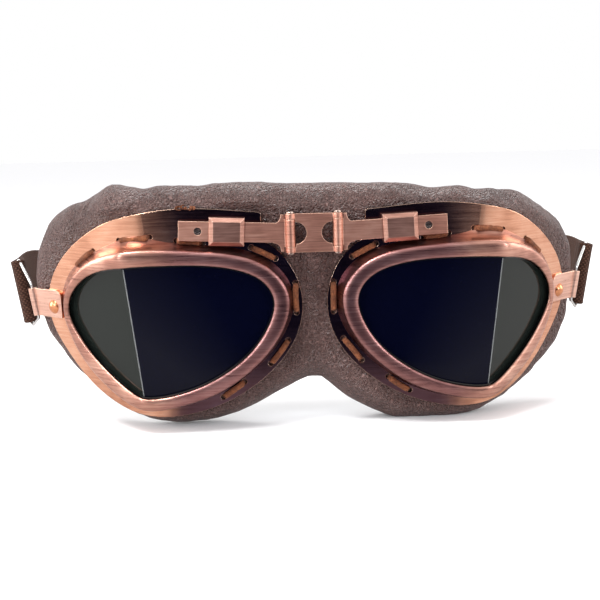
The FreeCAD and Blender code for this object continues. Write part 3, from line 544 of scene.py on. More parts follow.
# lie of the outer edge: lean to one side per millimetre from the nose, shift of the upper outer
# corners, soft bulges as (distance from the nose, height, amount, width), and puckers along the
# brow as (distance from the nose, height, width)
TILT = 0.028
CORNER = (101.0, 83.0, 9.0)
CORNER_LEFT, CORNER_RIGHT = -0.6, -1.6
LIE_LEFT = [(103.0, 24.0, -3.4, 16.0), (92.0, 8.0, -1.6, 10.0), (112.0, 62.0, -1.8, 14.0)]
LIE_RIGHT = [(14.0, 10.0, 3.8, 11.0), (32.0, 2.0, 3.4, 13.0), (104.0, 24.0, 1.4, 14.0)]
BROW_LEFT = [(90.0, -2.6, 6.0), (77.0, 1.4, 5.0), (66.0, -1.4, 5.0), (44.0, -0.9, 7.0),
             (22.0, 0.8, 12.0)]
BROW_RIGHT = [(16.0, -0.4, 6.0), (27.0, 0.5, 6.0), (46.0, -1.3, 6.0), (57.0, -0.2, 7.0),
              (68.0, -1.4, 6.0), (79.0, -1.7, 5.0), (90.0, -0.6, 4.0), (96.0, -1.6, 6.0)]

# where the leather's pieces meet, beyond the pin
SEAM_X = PIN_X + 0.3


def to_sheet(points, depth):
    """Sheet coordinates (u, a) of front-view points that lie at a depth in the bent sheet."""
    p = np.asarray(points, float)
    d = (p[:, 0] - FOLD_X) * math.cos(LEAN) - (p[:, 1] - FOLD_Z) * math.sin(LEAN)
    a = (p[:, 0] - FOLD_X) * math.sin(LEAN) + (p[:, 1] - FOLD_Z) * math.cos(LEAN)
    r = RADIUS - depth
    turn = np.arcsin(np.clip((d - BEND_START) / r, 0.0, math.sin(BEND)))
    over = np.maximum(0.0, d - BEND_START - r * math.sin(BEND)) / math.cos(BEND)
    u = np.where(d <= BEND_START, d, BEND_START + RADIUS * turn + over)
    return np.stack([u, a], axis=1)


def from_sheet(u, a, depth):
    """Frame coordinates, in millimetres, of sheet coordinates."""
    turn = np.clip((u - BEND_START) / RADIUS, 0.0, BEND)
    over = np.maximum(0.0, u - BEND_END)
    d = np.where(u <= BEND_START, u, BEND_START + RADIUS * np.sin(turn) + over * math.cos(BEND))
    y = RADIUS - RADIUS * np.cos(turn) + over * math.sin(BEND)
    d = d - np.sin(turn) * depth
    y = y + np.cos(turn) * depth
    x = FOLD_X + d * math.cos(LEAN) + a * math.sin(LEAN)
    z = FOLD_Z - d * math.sin(LEAN) + a * math.cos(LEAN)
    return np.stack([x, FLANGE_Y + y, z], axis=-1)


def distance_to(line, points):
    """Distance from each point to a closed polyline."""
    best = np.full(len(points), 1e9)
    for a, b in zip(line, np.roll(line, -1, axis=0)):
        ab = b - a
        t = np.clip(((points - a) @ ab) / max(ab @ ab, 1e-9), 0.0, 1.0)
        best = np.minimum(best, np.linalg.norm(points - (a + t[:, None] * ab), axis=1))
    return best


def inside(line, points):
    """Whether each point lies inside a closed polyline."""
    result = np.zeros(len(points), bool)
    for a, b in zip(line, np.roll(line, -1, axis=0)):
        crosses = (a[1] > points[:, 1]) != (b[1] > points[:, 1])
        run = (b[0] - a[0]) * (points[:, 1] - a[1]) / ((b[1] - a[1]) or 1e-9) + a[0]
        result ^= crosses & (points[:, 0] < run)
    return result


def reach(line, centre, directions):
    """Distance from the centre to a closed polyline along each direction."""
    best = np.zeros(len(directions))
    for a, b in zip(line, np.roll(line, -1, axis=0)):
        ab = b - a
        ac = centre - a
        den = directions[:, 0] * ab[1] - directions[:, 1] * ab[0]
        den = np.where(np.abs(den) < 1e-9, 1e-9, den)
        t = (ab[0] * ac[1] - ab[1] * ac[0]) / den
        s = (directions[:, 0] * ac[1] - directions[:, 1] * ac[0]) / den
        hit = (s >= 0) & (s <= 1) & (t > 0)
        best = np.where(hit, np.maximum(best, t), best)
    return best


def sheet_noise(u, a, scale, seed):
    return np.array([noise.fractal(Vector((x * scale, y * scale, seed)), 0.7, 2.1, 3)
                     for x, y in zip(u.ravel(), a.ravel())]).reshape(u.shape)


def own_noise(u, a, scale, seed, side, own):
    """Noise that both halves share at the nose and that each has to itself further out."""
    shared = sheet_noise(u, a, scale, seed)
    return shared * (1 - own) + sheet_noise(u, a, scale, seed + side) * own


class MaskShape:
    """Padded mask of the +X eye: outlines in the sheet, and the depth of its front and rear."""

    def __init__(self):
        left = [(-x, z) for x, z in reversed(MASK)]
        outline = closed_spline([MASK_TOP] + MASK + [MASK_NOTCH] + left, OUTLINE_POINTS)
        self.outline = to_sheet(outline, MIDDLE_DEPTH)
        self.hole = to_sheet(closed_spline(RIM, HOLE_POINTS), FLANGE_METAL)
        self.flange = to_sheet(closed_spline(FLANGE, FLANGE_POINTS), FLANGE_METAL)
        self.centre = to_sheet([EYE_CENTRE], FLANGE_METAL)[0]
        self.angles = self.stations()
        self.ways = np.stack([np.cos(self.angles), np.sin(self.angles)], axis=1)
        self.hole_reach = reach(self.hole, self.centre, self.ways)

    def stations(self):
        """Directions round the eye, with one exactly at each end of the nose line."""
        ends = to_sheet([MASK_TOP, MASK_NOTCH], MIDDLE_DEPTH) - self.centre
        high, low = (math.atan2(v[1], v[0]) % math.tau for v in ends)
        nose = int(AROUND * NOSE_SHARE)
        first = np.linspace(high, low, nose, endpoint=False)
        second = np.linspace(low, high + math.tau, AROUND - nose, endpoint=False)
        return np.concatenate([first, second])

    def hem(self):
        """Edge of the eye opening behind the flange, in the frame."""
        ring = self.centre + self.ways * self.hole_reach[:, None]
        return from_sheet(ring[:, 0], ring[:, 1], FLANGE_METAL + HEM_GAP)

    def lacing_gathers(self, u, a, away):
        """Short gathers square to the flange's edge, where the lacing pulls the hem in."""
        angle = np.arctan2(a - self.centre[1], u - self.centre[0])
        pulls = np.sin(angle * 23.0 + 2.0 * np.sin(angle * 3.0)) * 0.5 + np.sin(angle * 41.0) * 0.25
        near = smooth_step(away, 0.3, 3.0) * (1 - smooth_step(away, 5.0, 16.0))
        return near * pulls * GATHER_DEPTH

    def brow_folds(self, u, a, x, z, away, side):
        """Loose folds along the brow, deepest at the outer edge."""
        brow = smooth_step(z, 66.0, 88.0)
        own = smooth_step(x, 1.0, 12.0)
        rolls = own_noise(u, a, 0.075, 3.7, side, own)
        folds = own_noise(u, a * 0.35, 0.13, 9.1, side, own)
        depth = smooth_step(away, 0.5, 5.0) * (0.35 + 0.9 * brow) * (rolls * 0.9 + folds * 0.8)
        gathers = brow_gathers(x, side) * smooth_step(z, 78.0, 92.0)
        return depth - smooth_step(away, 0.5, 4.0) * gathers * BROW_GATHER_DEPTH

    def front_depth(self, u, a, edge, side):
        """Depth of the leather's face, from each point's distance to the outer edge."""
        points = np.stack([u.ravel(), a.ravel()], axis=1)
        away = distance_to(self.flange, points)
        away = np.where(inside(self.flange, points), -away, away).reshape(u.shape)
        x, _, z = np.moveaxis(from_sheet(u, a, 0.0), -1, 0)
        # beside the nose the leather stays behind the flange, which slides over it
        room = NOSE_ROOM * (1 - smooth_step(x, 13.0, 24.0))
        puff = smooth_step(away, -0.5 + room, 6.0 + room) * smooth_step(edge, 0.0, EDGE_ROUNDING)
        crease = hump(x, 0.0, CREASE_WIDTH) * (1 - smooth_step(z, 40.0, 66.0))
        depth = MIDDLE_DEPTH - HALF_THICKNESS * quarter_round(edge, EDGE_ROUNDING)
        depth -= puff * (PUFF + NOSE_PUFF * hump(x, 0.0, 9.0))
        depth += self.lacing_gathers(u, a, away)
        depth += self.brow_folds(u, a, x, z, away, side)
        depth += crease * CREASE_DEPTH
        behind = np.maximum(depth, FLANGE_METAL + FLANGE_CLEARANCE)
        return np.where(away < HEM_GAP + room, behind, depth)

    def rear_depth(self, edge, hole):
        """Depth of the lining, from the distances to the outer edge and the eye opening."""
        swell = REAR_LIP + (1 - REAR_LIP) * quarter_round(hole, BACK_ROUNDING)
        return MIDDLE_DEPTH + HALF_THICKNESS * quarter_round(edge, EDGE_ROUNDING) * swell


def brow_gathers(x, side):
    """Height of the puckers along the brow's edge."""
    gathers = BROW_LEFT if side < 0 else BROW_RIGHT
    rise = sum(high * hump(x, at, wide) for at, high, wide in gathers)
    return rise * smooth_step(x, 0.0, 8.0)


def edge_waves(points, ways, side):
    """Radial shift of the mask's outer edge: its lie on the frame, puckers, and small waves."""
    xyz = from_sheet(points[:, 0], points[:, 1], MIDDLE_DEPTH)
    x, z = xyz[:, 0], xyz[:, 2]
    up = ways[:, 1]
    brow = smooth_step(z, 70.0, 92.0)
    wave = np.array([noise.fractal(Vector((p[0] * 0.06, p[2] * 0.06, 1.3 + side)), 0.6, 2.2, 3)
                     for p in xyz])
    tilt = -side * TILT * np.abs(x) * up
    if side > 0:
        # the right half stands on the ground already
        tilt = np.where(up < 0, 0.0, tilt)
    corner_x, corner_z, wide = CORNER
    corner = hump(x, corner_x, wide) * hump(z, corner_z, wide)
    corner = corner * (CORNER_LEFT if side < 0 else CORNER_RIGHT)
    lie = sum(amount * hump(x, at_x, wide) * hump(z, at_z, wide)
              for at_x, at_z, amount, wide in (LIE_LEFT if side < 0 else LIE_RIGHT))
    small = wave * (0.25 + 0.45 * brow) + tilt + corner
    return (smooth_step(x, 6.0, 16.0) * small + smooth_step(x, 0.0, 5.0) * lie
            + brow * up * brow_gathers(x, side))


def mask_surfaces(shape, side):
    """Front and rear of the +X half in the frame, as grids of rays round the eye."""
    ways = shape.ways
    near = shape.hole_reach
    far = reach(shape.outline, shape.centre, ways)
    rims = shape.centre + ways * far[:, None]
    waves = edge_waves(rims, ways, side)
    far = far + waves
    # the nose line x = 0 in sheet coordinates bounds the half
    start = FOLD_X + shape.centre[0] * math.cos(LEAN) + shape.centre[1] * math.sin(LEAN)
    slope = ways[:, 0] * math.cos(LEAN) + ways[:, 1] * math.sin(LEAN)
    nose = np.where(slope < -1e-6, -start / np.minimum(slope, -1e-6), 1e9)
    far = np.minimum(far, nose)
    # points stand closer together towards the outer edge
    t = np.linspace(0, 1, ACROSS)
    t = 0.5 * t + 0.5 * np.sin(t * math.pi / 2)
    radii = near[:, None] + (far - near)[:, None] * t[None, :]
    u = shape.centre[0] + ways[:, 0:1] * radii
    a = shape.centre[1] + ways[:, 1:2] * radii
    points = np.stack([u.ravel(), a.ravel()], axis=1)
    edge = distance_to(rims + ways * waves[:, None], points).reshape(u.shape)
    edge[far < nose - 1e-6, -1] = 0.0
    hole = distance_to(shape.hole, points).reshape(u.shape)
    front = from_sheet(u, a, shape.front_depth(u, a, edge, side))
    rear = from_sheet(u, a, shape.rear_depth(edge, hole))
    for surface in (front, rear):
        surface[..., 2] = np.maximum(surface[..., 2], 0.0)
    return front, rear


def mask_faces(surface, full, at_nose, beyond):
    """Faces of a surface: all of the first columns, and of the others those at the nose, where
    beyond is true, or those away from it."""
    rows, columns = surface.shape[:2]
    return [corners for i, corners in enumerate(grid_faces(rows, columns, wrap_rows=True))
            if i % (columns - 1) < full or at_nose[i // (columns - 1)] == beyond]


def vertex_vectors(mesh, attribute):
    values = np.zeros(len(mesh.vertices) * 3, np.float32)
    mesh.vertices.foreach_get(attribute, values)
    return values.reshape(-1, 3)


def split_mask(name, surface, faces, material, side, flip):
    """One surface of the mask as two pieces with a shared border: by the nose, and on the cup."""
    bm = bmesh.new()
    verts = [bm.verts.new((p[0] * MM * side, p[1] * MM, p[2] * MM))
             for p in surface.reshape(-1, 3)]
    for face in faces:
        bm.faces.new([verts[i] for i in face])
    bmesh.ops.remove_doubles(bm, verts=bm.verts, dist=2e-6)
    geometry = bm.verts[:] + bm.edges[:] + bm.faces[:]
    bmesh.ops.bisect_plane(bm, geom=geometry, plane_co=(SEAM_X * MM * side, 0, 0),
                           plane_no=(1, 0, 0), dist=1e-7)
    if flip:
        bmesh.ops.reverse_faces(bm, faces=bm.faces)
    bm.normal_update()
    whole = bpy.data.meshes.new(name)
    bm.to_mesh(whole)
    bm.free()
    normals = vertex_vectors(whole, "normal")
    places = vertex_vectors(whole, "co")
    # straight across the nose line the two halves share one normal
    normals[np.abs(places[:, 0]) < 1e-5, 0] = 0.0
    made = {}
    for part in ("cup", "nose"):
        chosen = [tuple(polygon.vertices) for polygon in whole.polygons
                  if (polygon.center.x * side > SEAM_X * MM) == (part == "cup")]
        used = sorted({i for face in chosen for i in face})
        index = {old: new for new, old in enumerate(used)}
        mesh = bpy.data.meshes.new(f"{name}_{part}_{'left' if side < 0 else 'right'}")
        mesh.from_pydata([tuple(places[i]) for i in used], [],
                         [tuple(index[i] for i in face) for face in chosen])
        mesh.update()
        mesh.shade_smooth()
        mesh.normals_split_custom_set_from_vertices([tuple(normals[i]) for i in used])
        mesh.materials.append(material)
        obj = link(bpy.data.objects.new(mesh.name, mesh))
        made[part] = obj
    bpy.data.meshes.remove(whole)
    return made


def mask():
    """Leather front and felt rear of the mask, each as a piece by the nose and a piece on the cup.
    """
    shape = MaskShape()
    for label, side in SIDES:
        face, back = mask_surfaces(shape, side)
        on_nose = np.abs(face[:, -1, 0]) < 1e-3
        at_nose = on_nose & np.roll(on_nose, -1)
        # the leather is turned in over the rear edge, except at the nose line
        skin = np.concatenate([face, back[:, ::-1][:, 1:TURN_IN + 1]], axis=1)
        leather_pieces = split_mask("mask_leather", skin,
                                    mask_faces(skin, ACROSS - 1, at_nose, False), LEATHER,
                                    side, side > 0)
        # the lining starts at the hem, ends where the leather is turned in, and goes on to the
        # nose line
        hem = shape.hem()
        wall = [hem + (back[:, 0] - hem) * step for step in np.linspace(0.0, 1.0, 6)]
        lined = np.concatenate([np.stack(wall, axis=1), back[:, 1:]], axis=1)
        full = lined.shape[1] - 1 - TURN_IN
        felt_pieces = split_mask("mask_felt", lined, mask_faces(lined, full, at_nose, True), FELT,
                                 side, side < 0)
        for pieces in (leather_pieces, felt_pieces):
            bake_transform(pieces["nose"])
            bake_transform(pieces["cup"])
        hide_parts("mask_cover_" + label, "mask_foam_" + label)
        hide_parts("mask_lining_" + label)
        if side > 0:
            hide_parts("nose_cover", "nose_foam")
            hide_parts("nose_lining")


# ---------------------------------------------------------------- lacing

# the two ends of each stitch, as (x, z) in the front view, the same as in the CAD
STITCHES = [
    ((94.0, 64.3), (86.5, 70.9)), ((75.4, 75.6), (63.4, 76.6)), ((53.2, 75.0), (43.2, 74.0)),
    ((24.4, 71.6), (15.1, 67.0)), ((7.4, 57.0), (7.3, 45.5)), ((11.0, 34.3), (18.0, 25.3)),
    ((28.7, 18.2), (37.2, 12.4)),
]
LACE_RADIUS = 1.15
LACE_FLATNESS = 0.72
LACE_ALONG, LACE_AROUND = 40, 14
LACE_END = 1.3
LACE_SLACK = 0.25

# frayed lace end over the left flange: (x, z, size) of each curl
TUFT_STRANDS = [(-51.6, 87.6, 1.3), (-49.9, 88.0, 1.1), (-48.2, 87.7, 1.2), (-46.6, 87.5, 0.9)]
TUFT_RADIUS = 0.42
TUFT_ALONG, TUFT_AROUND = 24, 10


def lace_stitch(ends, number):
    """Flattened, fuzzy suede lace from hole to hole over the flange."""
    (u0, a0), (u1, a1) = to_sheet(ends, 0.0)
    length = math.hypot(u1 - u0, a1 - a0)
    side_u, side_a = -(a1 - a0) / length, (u1 - u0) / length
    points = []
    for t in np.linspace(0, 1, LACE_ALONG):
        dip = 1.0 - min(1.0, min(t, 1 - t) * length / LACE_END)
        depth = -LACE_RADIUS * 0.8 - 0.1 + dip ** 2 * (LACE_RADIUS + 1.1)
        slack = math.sin(t * math.pi) * LACE_SLACK * math.sin(number * 2.3)
        u = u0 + (u1 - u0) * t - slack * side_u
        a = a0 + (a1 - a0) * t - slack * side_a
        wide = LACE_RADIUS * (1.0 - 0.25 * dip)
        for angle in np.linspace(0, math.tau, LACE_AROUND, endpoint=False):
            rough = 1.0 + 0.12 * noise.noise(Vector((u * 1.7, a * 1.7 + angle, number)))
            across = math.cos(angle) * wide * rough
            out = math.sin(angle) * wide * LACE_FLATNESS * rough
            points.append(from_sheet(np.array(u + side_u * across), np.array(a + side_a * across),
                                     depth - out))
    return points


def suede_piece(name, tubes, along, around, side):
    """One piece of suede made of several tubes, as points on the +X side."""
    faces = []
    for number in range(len(tubes)):
        faces += moved_on(tube_faces(along, around), number * along * around)
    points = np.concatenate(tubes) * MM
    if side < 0:
        points[:, 0] *= -1
        faces = turned_over(faces)
    obj = mesh_object(name, points, faces)
    obj.data.materials.append(SUEDE)
    return obj


def lacing():
    """Stitches that hold the mask's hem behind the flanges."""
    for label, side in SIDES:
        first = 0 if side > 0 else 20
        tubes = [lace_stitch(ends, first + number) for number, ends in enumerate(STITCHES)]
        obj = suede_piece("suede_lacing_" + label, tubes, LACE_ALONG, LACE_AROUND, side)
        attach(obj, "cup_" + label)
        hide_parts("lacing_" + label)


def tuft_strand(x, z, size, number):
    """One curl of frayed lace."""
    points = []
    for t in np.linspace(0, 1, TUFT_ALONG):
        turn = math.pi * (0.15 + 1.5 * t) + number
        rough = noise.noise(Vector((t * 5.0, number, 0.5)))
        centre = Vector((x + size * math.cos(turn), FLANGE_Y - 0.5 + 0.8 * math.sin(turn * 1.7),
                         z + 0.55 * size * math.sin(turn) + 0.3 * rough))
        wide = TUFT_RADIUS * (1.0 - 0.5 * abs(2 * t - 1) ** 3)
        for angle in np.linspace(0, math.tau, TUFT_AROUND, endpoint=False):
            points.append(centre + Vector((math.cos(angle), math.sin(angle),
                                           math.sin(angle + turn))) * wide)
    return points


def lace_tuft():
    """Frayed knot of lace that peeps out over the left flange's top edge."""
    tubes = [tuft_strand(*strand, number) for number, strand in enumerate(TUFT_STRANDS)]
    obj = suede_piece("suede_tuft_left", tubes, TUFT_ALONG, TUFT_AROUND, 1)
    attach(obj, "cup_left")


# ---------------------------------------------------------------- head strap

STRAP_WIDTH = 27.0
STRAP_THICKNESS = 1.4
UP, BACK = Vector((0, 0, 1)), Vector((0, 1, 0))

# loop round the bail
LOOP_RADIUS = 1.5 + STRAP_THICKNESS / 2
LOOP_LEG = 14.0
SEWN_GAP = 0.05
BARREL_LEAN = math.radians(9.0)
BAIL_REACH = 9.2
BAIL_OUTWARD = 0.567
STRAP_RISE = 4.3

# rear, with the outer half folded round the slider and the inner half running through it; the
# depths are measured as in the CAD, before it moves the whole model forwards by MIDDLE_Y
MIDDLE_Y = 86.73
REAR_Y = 173.0
REAR_Z = 15.1
REAR_STEP = 2.5
STRAIGHT_X = 50.0
SLIDER_FOLD_X = 11.4
TAIL_X = -34.0
FOLD_GAP = 1.3
SLIDER_CLEARANCE = 0.8
# Course of a strap half from its bail loop to the rear: x, depth of the outer half, height of its
# middle, lean in degrees; the same course as in the CAD.
STRAP_COURSE = [
    (123.4, 90.0, 51.0, 8.0), (120.0, 111.0, 48.3, 7.0), (111.0, 132.0, 41.5, 5.0),
    (96.0, 150.5, 32.0, 3.0), (78.0, 164.0, 23.0, 1.2), (62.0, 171.3, 17.0, 0.3),
]
COURSE_LEAD = 12.0

# surface of the webbing: ribs, thicker selvedge, and how it sways and curls along its length
RIB_HEIGHT = 0.05
SELVEDGE_HEIGHT = 0.06
SWAY = 0.12
CURL = 0.18
CURL_SPAN = 13.0

# sewing: rows past the loop's start, rows before the folded end, and single stitches
LOOP_SEAMS = (8.5, 12.0)
FOLD_SEAMS = (31.0, 28.0)
STITCH_PITCH = 2.4
STITCH_LENGTH = 1.9
STITCH_MARGINS = (1.6, 2.6)
STITCH_LIFT = 0.06
THREAD_RADIUS = 0.26
THREAD_SINK = 0.25
THREAD_ARCH = 0.3
THREAD_ALONG, THREAD_AROUND = 7, 6


def joint_place(name):
    """Place of a joint at rest, in millimetres."""
    joints = {joint["name"]: joint for joint in frame["record"]["behaviour"]["joints"]}
    return Vector(joints[name]["pos_m"]) / MM


def loop_path():
    """Webbing round the bail: in along one leg, round the wire and out along the other."""
    axis = Vector((math.sin(BARREL_LEAN), 0, math.cos(BARREL_LEAN)))
    across = Vector((math.cos(BARREL_LEAN), 0, -math.sin(BARREL_LEAN)))
    way = Vector((BAIL_OUTWARD, math.sqrt(1 - BAIL_OUTWARD ** 2), 0))
    way = (way - axis * way.dot(axis)).normalized()
    leg = joint_place("bail_swing_right") + way * BAIL_REACH + axis * STRAP_RISE
    r = LOOP_RADIUS
    sewn = r - STRAP_THICKNESS - SEWN_GAP
    places = []
    for step in np.linspace(LOOP_LEG, 0.0, 12):
        shut = float(smooth_step(step, 0.0, LOOP_LEG - 2.0))
        places.append(leg + across * (-r + (r + sewn) * shut) + BACK * step)
    for turn in np.linspace(0, math.pi, 15)[1:]:
        places.append(leg + across * (-r * math.cos(turn)) - BACK * (r * math.sin(turn)))
    for step in (3.0, 7.0, 11.0, LOOP_LEG):
        places.append(leg + across * r + BACK * step)
    return [(place, axis) for place in places]


def course_path(start, rear_y):
    """Webbing from the loop round to the straight stretch at the rear."""
    scale = (rear_y - MIDDLE_Y - start.y) / (REAR_Y - MIDDLE_Y - start.y)
    knots = [(start, math.degrees(BARREL_LEAN))]
    for x, y, z, lean in STRAP_COURSE:
        knots.append((Vector((x, start.y + (y - MIDDLE_Y - start.y) * scale, z)), lean))
    knots.append((Vector((STRAIGHT_X, rear_y - MIDDLE_Y, REAR_Z)), 0.0))
    places = [place for place, _ in knots]
    line = [start - BACK * COURSE_LEAD, *places, places[-1] - Vector((COURSE_LEAD, 0, 0))]
    points = []
    for i in range(len(knots) - 1):
        a, b, c, d = line[i:i + 4]
        plan = Vector((c.x - b.x, c.y - b.y, 0)).normalized()
        normal = Vector((plan.y, -plan.x, 0))
        for t in np.linspace(0, 1, 14)[1:]:
            lean = math.radians(knots[i][1] + (knots[i + 1][1] - knots[i][1]) * t)
            points.append((curve_point(a, b, c, d, t),
                           UP * math.cos(lean) + normal * math.sin(lean)))
    return points


def rear_path(rear_y, outer):
    """Straight stretch at the rear; the outer half is folded back round the slider."""
    y = rear_y - MIDDLE_Y
    end = SLIDER_FOLD_X if outer else TAIL_X
    places = [(x, y) for x in np.arange(STRAIGHT_X - REAR_STEP, end, -REAR_STEP)] + [(end, y)]
    if outer:
        r = (FOLD_GAP + STRAP_THICKNESS) / 2
        for turn in np.linspace(0, math.pi, 11)[1:]:
            places.append((end - r * math.sin(turn), y - r * (1 - math.cos(turn))))
        for x in (3.0, 6.0, 9.0, 12.0, 15.0):
            places.append((end + x, y - 2 * r))
    return [(Vector((*place, REAR_Z)), UP) for place in places]


def strap_path(outer):
    """Centre line of one strap half on the +X side, with the direction of its width."""
    loop = loop_path()
    inner_y = REAR_Y - STRAP_THICKNESS * 2 - FOLD_GAP - SLIDER_CLEARANCE
    rear_y = REAR_Y if outer else inner_y
    return loop + course_path(loop[-1][0], rear_y) + rear_path(rear_y, outer)


def strap_profile():
    """Section across the webbing: (across the width, out of the face) with shallow ribs."""
    half_w, half_t = STRAP_WIDTH / 2, STRAP_THICKNESS / 2
    steps = 3 * int(STRAP_WIDTH / RIB_PITCH)
    face = []
    for i in range(steps + 1):
        v = -half_w + 0.5 + (STRAP_WIDTH - 1.0) * i / steps
        selvedge = SELVEDGE_HEIGHT * float(smooth_step(abs(v), half_w - 2.2, half_w - 1.4))
        rib = RIB_HEIGHT * abs(math.sin(math.pi * (v + half_w) / RIB_PITCH))
        face.append((v, half_t - RIB_HEIGHT + rib + selvedge))
    edge = [(half_w - 0.18, half_t * 0.72), (half_w, 0.0), (half_w - 0.18, -half_t * 0.72)]
    return face + edge + [(v, -t) for v, t in reversed(face)] + [(-v, -t) for v, t in edge]


def frames_along(points):
    """Places, width directions and outward normals along a strap."""
    places = [p for p, _ in points]
    result = []
    for i, (place, up) in enumerate(points):
        tangent = (places[min(i + 1, len(places) - 1)] - places[max(i - 1, 0)]).normalized()
        up = (up - tangent * up.dot(tangent)).normalized()
        result.append((place, up, tangent.cross(up)))
    return result


def thread(start, end, out):
    """Short stitch that rises out of the webbing and dips back in."""
    points = []
    way = end - start
    side = way.cross(out).normalized()
    for t in np.linspace(0, 1, THREAD_ALONG):
        middle = start + way * t + out * (math.sin(math.pi * t) * THREAD_ARCH - THREAD_SINK)
        for angle in np.linspace(0, math.tau, THREAD_AROUND, endpoint=False):
            points.append(middle + (side * math.cos(angle) + out * math.sin(angle)) * THREAD_RADIUS)
    return points


def strap_piece(name, points, faces, material, label, side):
    """Piece of the strap on one side, from points on the +X side."""
    points = np.array(points) * MM
    points[:, 0] *= side
    obj = mesh_object(name + label, points, turned_over(faces) if side > 0 else faces)
    obj.data.materials.append(material)
    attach(obj, "strap_" + label)
    return obj


def straps():
    """Two halves of webbing: the outer one ends folded at the slider, the inner one beyond it."""
    profile = strap_profile()
    for label, side in SIDES:
        outer = side < 0
        line = frames_along(strap_path(outer))
        travel = [0.0]
        for before, after in zip(line, line[1:]):
            travel.append(travel[-1] + (after[0] - before[0]).length)
        points = []
        for along, (place, up, out) in zip(travel, line):
            slack = noise.noise(Vector((along * 0.05, 4.0 + side, 0)))
            for v, t in profile:
                curl = CURL * slack * (v / CURL_SPAN)
                points.append(place + up * (v + SWAY * slack) + out * (t + curl))
        band = strap_piece("strap_webbing_", points, tube_faces(len(line), len(profile)), WEBBING,
                           label, side)
        layer = band.data.uv_layers.new(name="strap")
        for loop in band.data.loops:
            row, column = divmod(loop.vertex_index, len(profile))
            layer.data[loop.index].uv = (travel[row], profile[column][0] + STRAP_WIDTH / 2)
        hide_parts("head_strap_" + label)
        strap_stitches(line, travel, label, side, outer)


def strap_stitches(line, travel, label, side, outer):
    """Sewn rows that close the bail loop, and the fold round the slider."""
    fold = next(i for i, t in enumerate(travel) if t > LOOP_LEG + math.pi * LOOP_RADIUS)
    rows = [travel[fold] + at for at in LOOP_SEAMS]
    if outer:
        rows += [travel[-1] - at for at in FOLD_SEAMS]
    first, last = -STRAP_WIDTH / 2 + STITCH_MARGINS[0], STRAP_WIDTH / 2 - STITCH_MARGINS[1]
    points, faces = [], []
    for at in rows:
        i = next(k for k, t in enumerate(travel) if t >= at)
        place = line[i - 1][0].lerp(line[i][0], (at - travel[i - 1]) / (travel[i] - travel[i - 1]))
        _, up, out = line[i]
        for v in np.arange(first, last, STITCH_PITCH):
            start = place + up * float(v) + out * (STRAP_THICKNESS / 2 + STITCH_LIFT)
            faces += moved_on(tube_faces(THREAD_ALONG, THREAD_AROUND), len(points))
            points += thread(start, start + up * STITCH_LENGTH, out)
    strap_piece("strap_stitching_", points, faces, THREAD, label, side)


# ---------------------------------------------------------------- camera, light, floor

AIM = Vector((0.0, FLANGE_Y - 9.0, 51.5)) * MM
DISTANCE = 0.42
LENS_LENGTH = 65.46
SHIFT = -0.0275
CAMERA_HEIGHT = math.radians(9.0)
CAMERA_SIDE = math.radians(-3.9)
CAMERA_ROLL = math.radians(-1.3)

# the room ahead of the goggles is dark to reflections, a little to the left of straight ahead,
# and the floor beyond a strip in front of them; everything else is pale
DARK_SIDE = math.radians(3.6)
DARK_FLOOR, LIT_FLOOR = (0.012, 0.016, 0.04), (0.50, 0.48, 0.47)
DARK_ROOM = (0.012, 0.018, 0.06)
FLOOR_FROM, FLOOR_TO = 0.13, 0.21
FLOOR_SIZE = 4.0

# name, place, aim, size, power, colour
AREA_LIGHTS = [
    ("key", (-0.35, -0.35, 0.9), (0, -0.05, 0.05), (0.35, 0.25), 6.5, (1, 1, 1)),
    ("left_strip", (-0.62, -0.72, 0.35), (-0.08, -0.07, 0.07), (0.07, 0.4), 2.2,
     (0.86, 0.93, 1.0)),
    ("right_strip", (0.66, -0.68, 0.32), (0.08, -0.07, 0.07), (0.07, 0.35), 1.5,
     (0.88, 0.94, 1.0)),
    ("left_side", (-0.95, 0.0, 0.3), (-0.08, -0.03, 0.05), (0.6, 0.5), 5.0, (1, 0.95, 0.91)),
    ("right_side", (0.95, 0.0, 0.3), (0.08, -0.03, 0.05), (0.6, 0.5), 3.2, (1, 0.96, 0.93)),
    ("back_top", (0.1, 0.6, 0.8), (0, 0, 0.05), (0.8, 0.3), 4.0, (1, 1, 1)),
]


def camera():
    data = bpy.data.cameras.new("camera")
    data.sensor_width = 36.0
    data.lens = LENS_LENGTH
    data.shift_x = SHIFT
    data.clip_start = 0.01
    obj = link(bpy.data.objects.new("camera", data))
    out = Vector((math.sin(CAMERA_SIDE) * math.cos(CAMERA_HEIGHT),
                  -math.cos(CAMERA_SIDE) * math.cos(CAMERA_HEIGHT), math.sin(CAMERA_HEIGHT)))
    turn = (-out).to_track_quat("-Z", "Y").to_matrix().to_4x4()
    obj.matrix_world = (Matrix.Translation(AIM + out * DISTANCE) @ turn
                        @ Matrix.Rotation(CAMERA_ROLL, 4, "Z"))
    bpy.context.scene.camera = obj


def area_light(name, place, aim, size, power, colour):
    data = bpy.data.lights.new(name, "AREA")
    data.shape = "RECTANGLE"
    data.size, data.size_y = size
    data.energy = power
    data.color = colour
    obj = link(bpy.data.objects.new(name, data))
    obj.location = place
    way = Vector(aim) - Vector(place)
    obj.rotation_euler = way.to_track_quat("-Z", "Y").to_euler()


def straight_ahead(tree, split):
    """How straight a direction points into the dark part of the room."""
    return weighted(tree, split.outputs["X"], math.sin(DARK_SIDE),
                    split.outputs["Y"], -math.cos(DARK_SIDE))


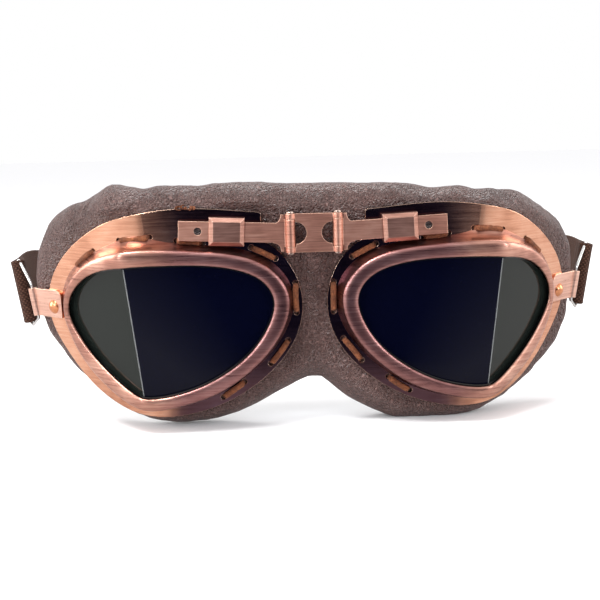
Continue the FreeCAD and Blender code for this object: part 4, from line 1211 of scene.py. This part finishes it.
def floor():
    """Pale floor, which reflections see as greyer, and as dark ahead of the goggles."""
    size = FLOOR_SIZE
    obj = mesh_object("floor", [(-size, -size, 0), (size, -size, 0), (size, size, 0),
                                (-size, size, 0)], [(0, 1, 2, 3)])
    material, tree, shader = new_material("floor")
    place = object_coordinates(tree)
    length = add(tree, "ShaderNodeVectorMath", operation="LENGTH")
    tree.links.new(place, length.inputs[0])
    distance = length.outputs["Value"]
    ahead = computed(tree, "DIVIDE", straight_ahead(tree, separate(tree, place)), distance)
    far = ramp(tree, distance, [(FLOOR_FROM, grey(0.0)), (FLOOR_TO, grey(1.0))])
    front = ramp(tree, ahead, [(0.935, grey(0.0)), (0.985, grey(1.0))])
    shade = mixed(tree, computed(tree, "MULTIPLY", far, front), LIT_FLOOR, DARK_FLOOR)
    path = tree.nodes.new("ShaderNodeLightPath")
    tone = mixed(tree, path.outputs["Is Glossy Ray"], grey(0.97), shade)
    tree.links.new(tone, shader.inputs["Base Color"])
    plain_settings(shader, Roughness=0.9, Specular_IOR_Level=0.0)
    obj.data.materials.append(material)


def surroundings():
    """White to the camera and for soft light; reflections see a shaded, partly dark room."""
    world = bpy.data.worlds.new("world")
    bpy.context.scene.world = world
    world.use_nodes = True
    tree = world.node_tree
    background = tree.nodes["Background"]
    where = tree.nodes.new("ShaderNodeTexCoord")
    split = separate(tree, where.outputs["Generated"])
    height = computed(tree, "MULTIPLY_ADD", split.outputs["Z"], 0.5, 0.5)
    sky = ramp(tree, height, [(0.3, (0.45, 0.44, 0.44)), (0.5, (0.85, 0.82, 0.80)),
                              (0.62, (1.0, 0.98, 0.97)), (0.85, (1.0, 1.0, 1.0))])
    front = ramp(tree, straight_ahead(tree, split), [(0.90, grey(0.0)), (0.97, grey(1.0))])
    around = mixed(tree, front, sky, DARK_ROOM)
    path = tree.nodes.new("ShaderNodeLightPath")
    lit = mixed(tree, path.outputs["Is Diffuse Ray"], around, (1.0, 1.0, 1.02))
    tree.links.new(mixed(tree, path.outputs["Is Camera Ray"], lit, grey(1.0)),
                   background.inputs["Color"])
    background.inputs["Strength"].default_value = 1.0


def studio():
    floor()
    for light in AREA_LIGHTS:
        area_light(*light)
    surroundings()
    bpy.context.scene.view_settings.view_transform = "Standard"


camera()
studio()
dress_cad()
mask()
lacing()
lace_tuft()
straps()
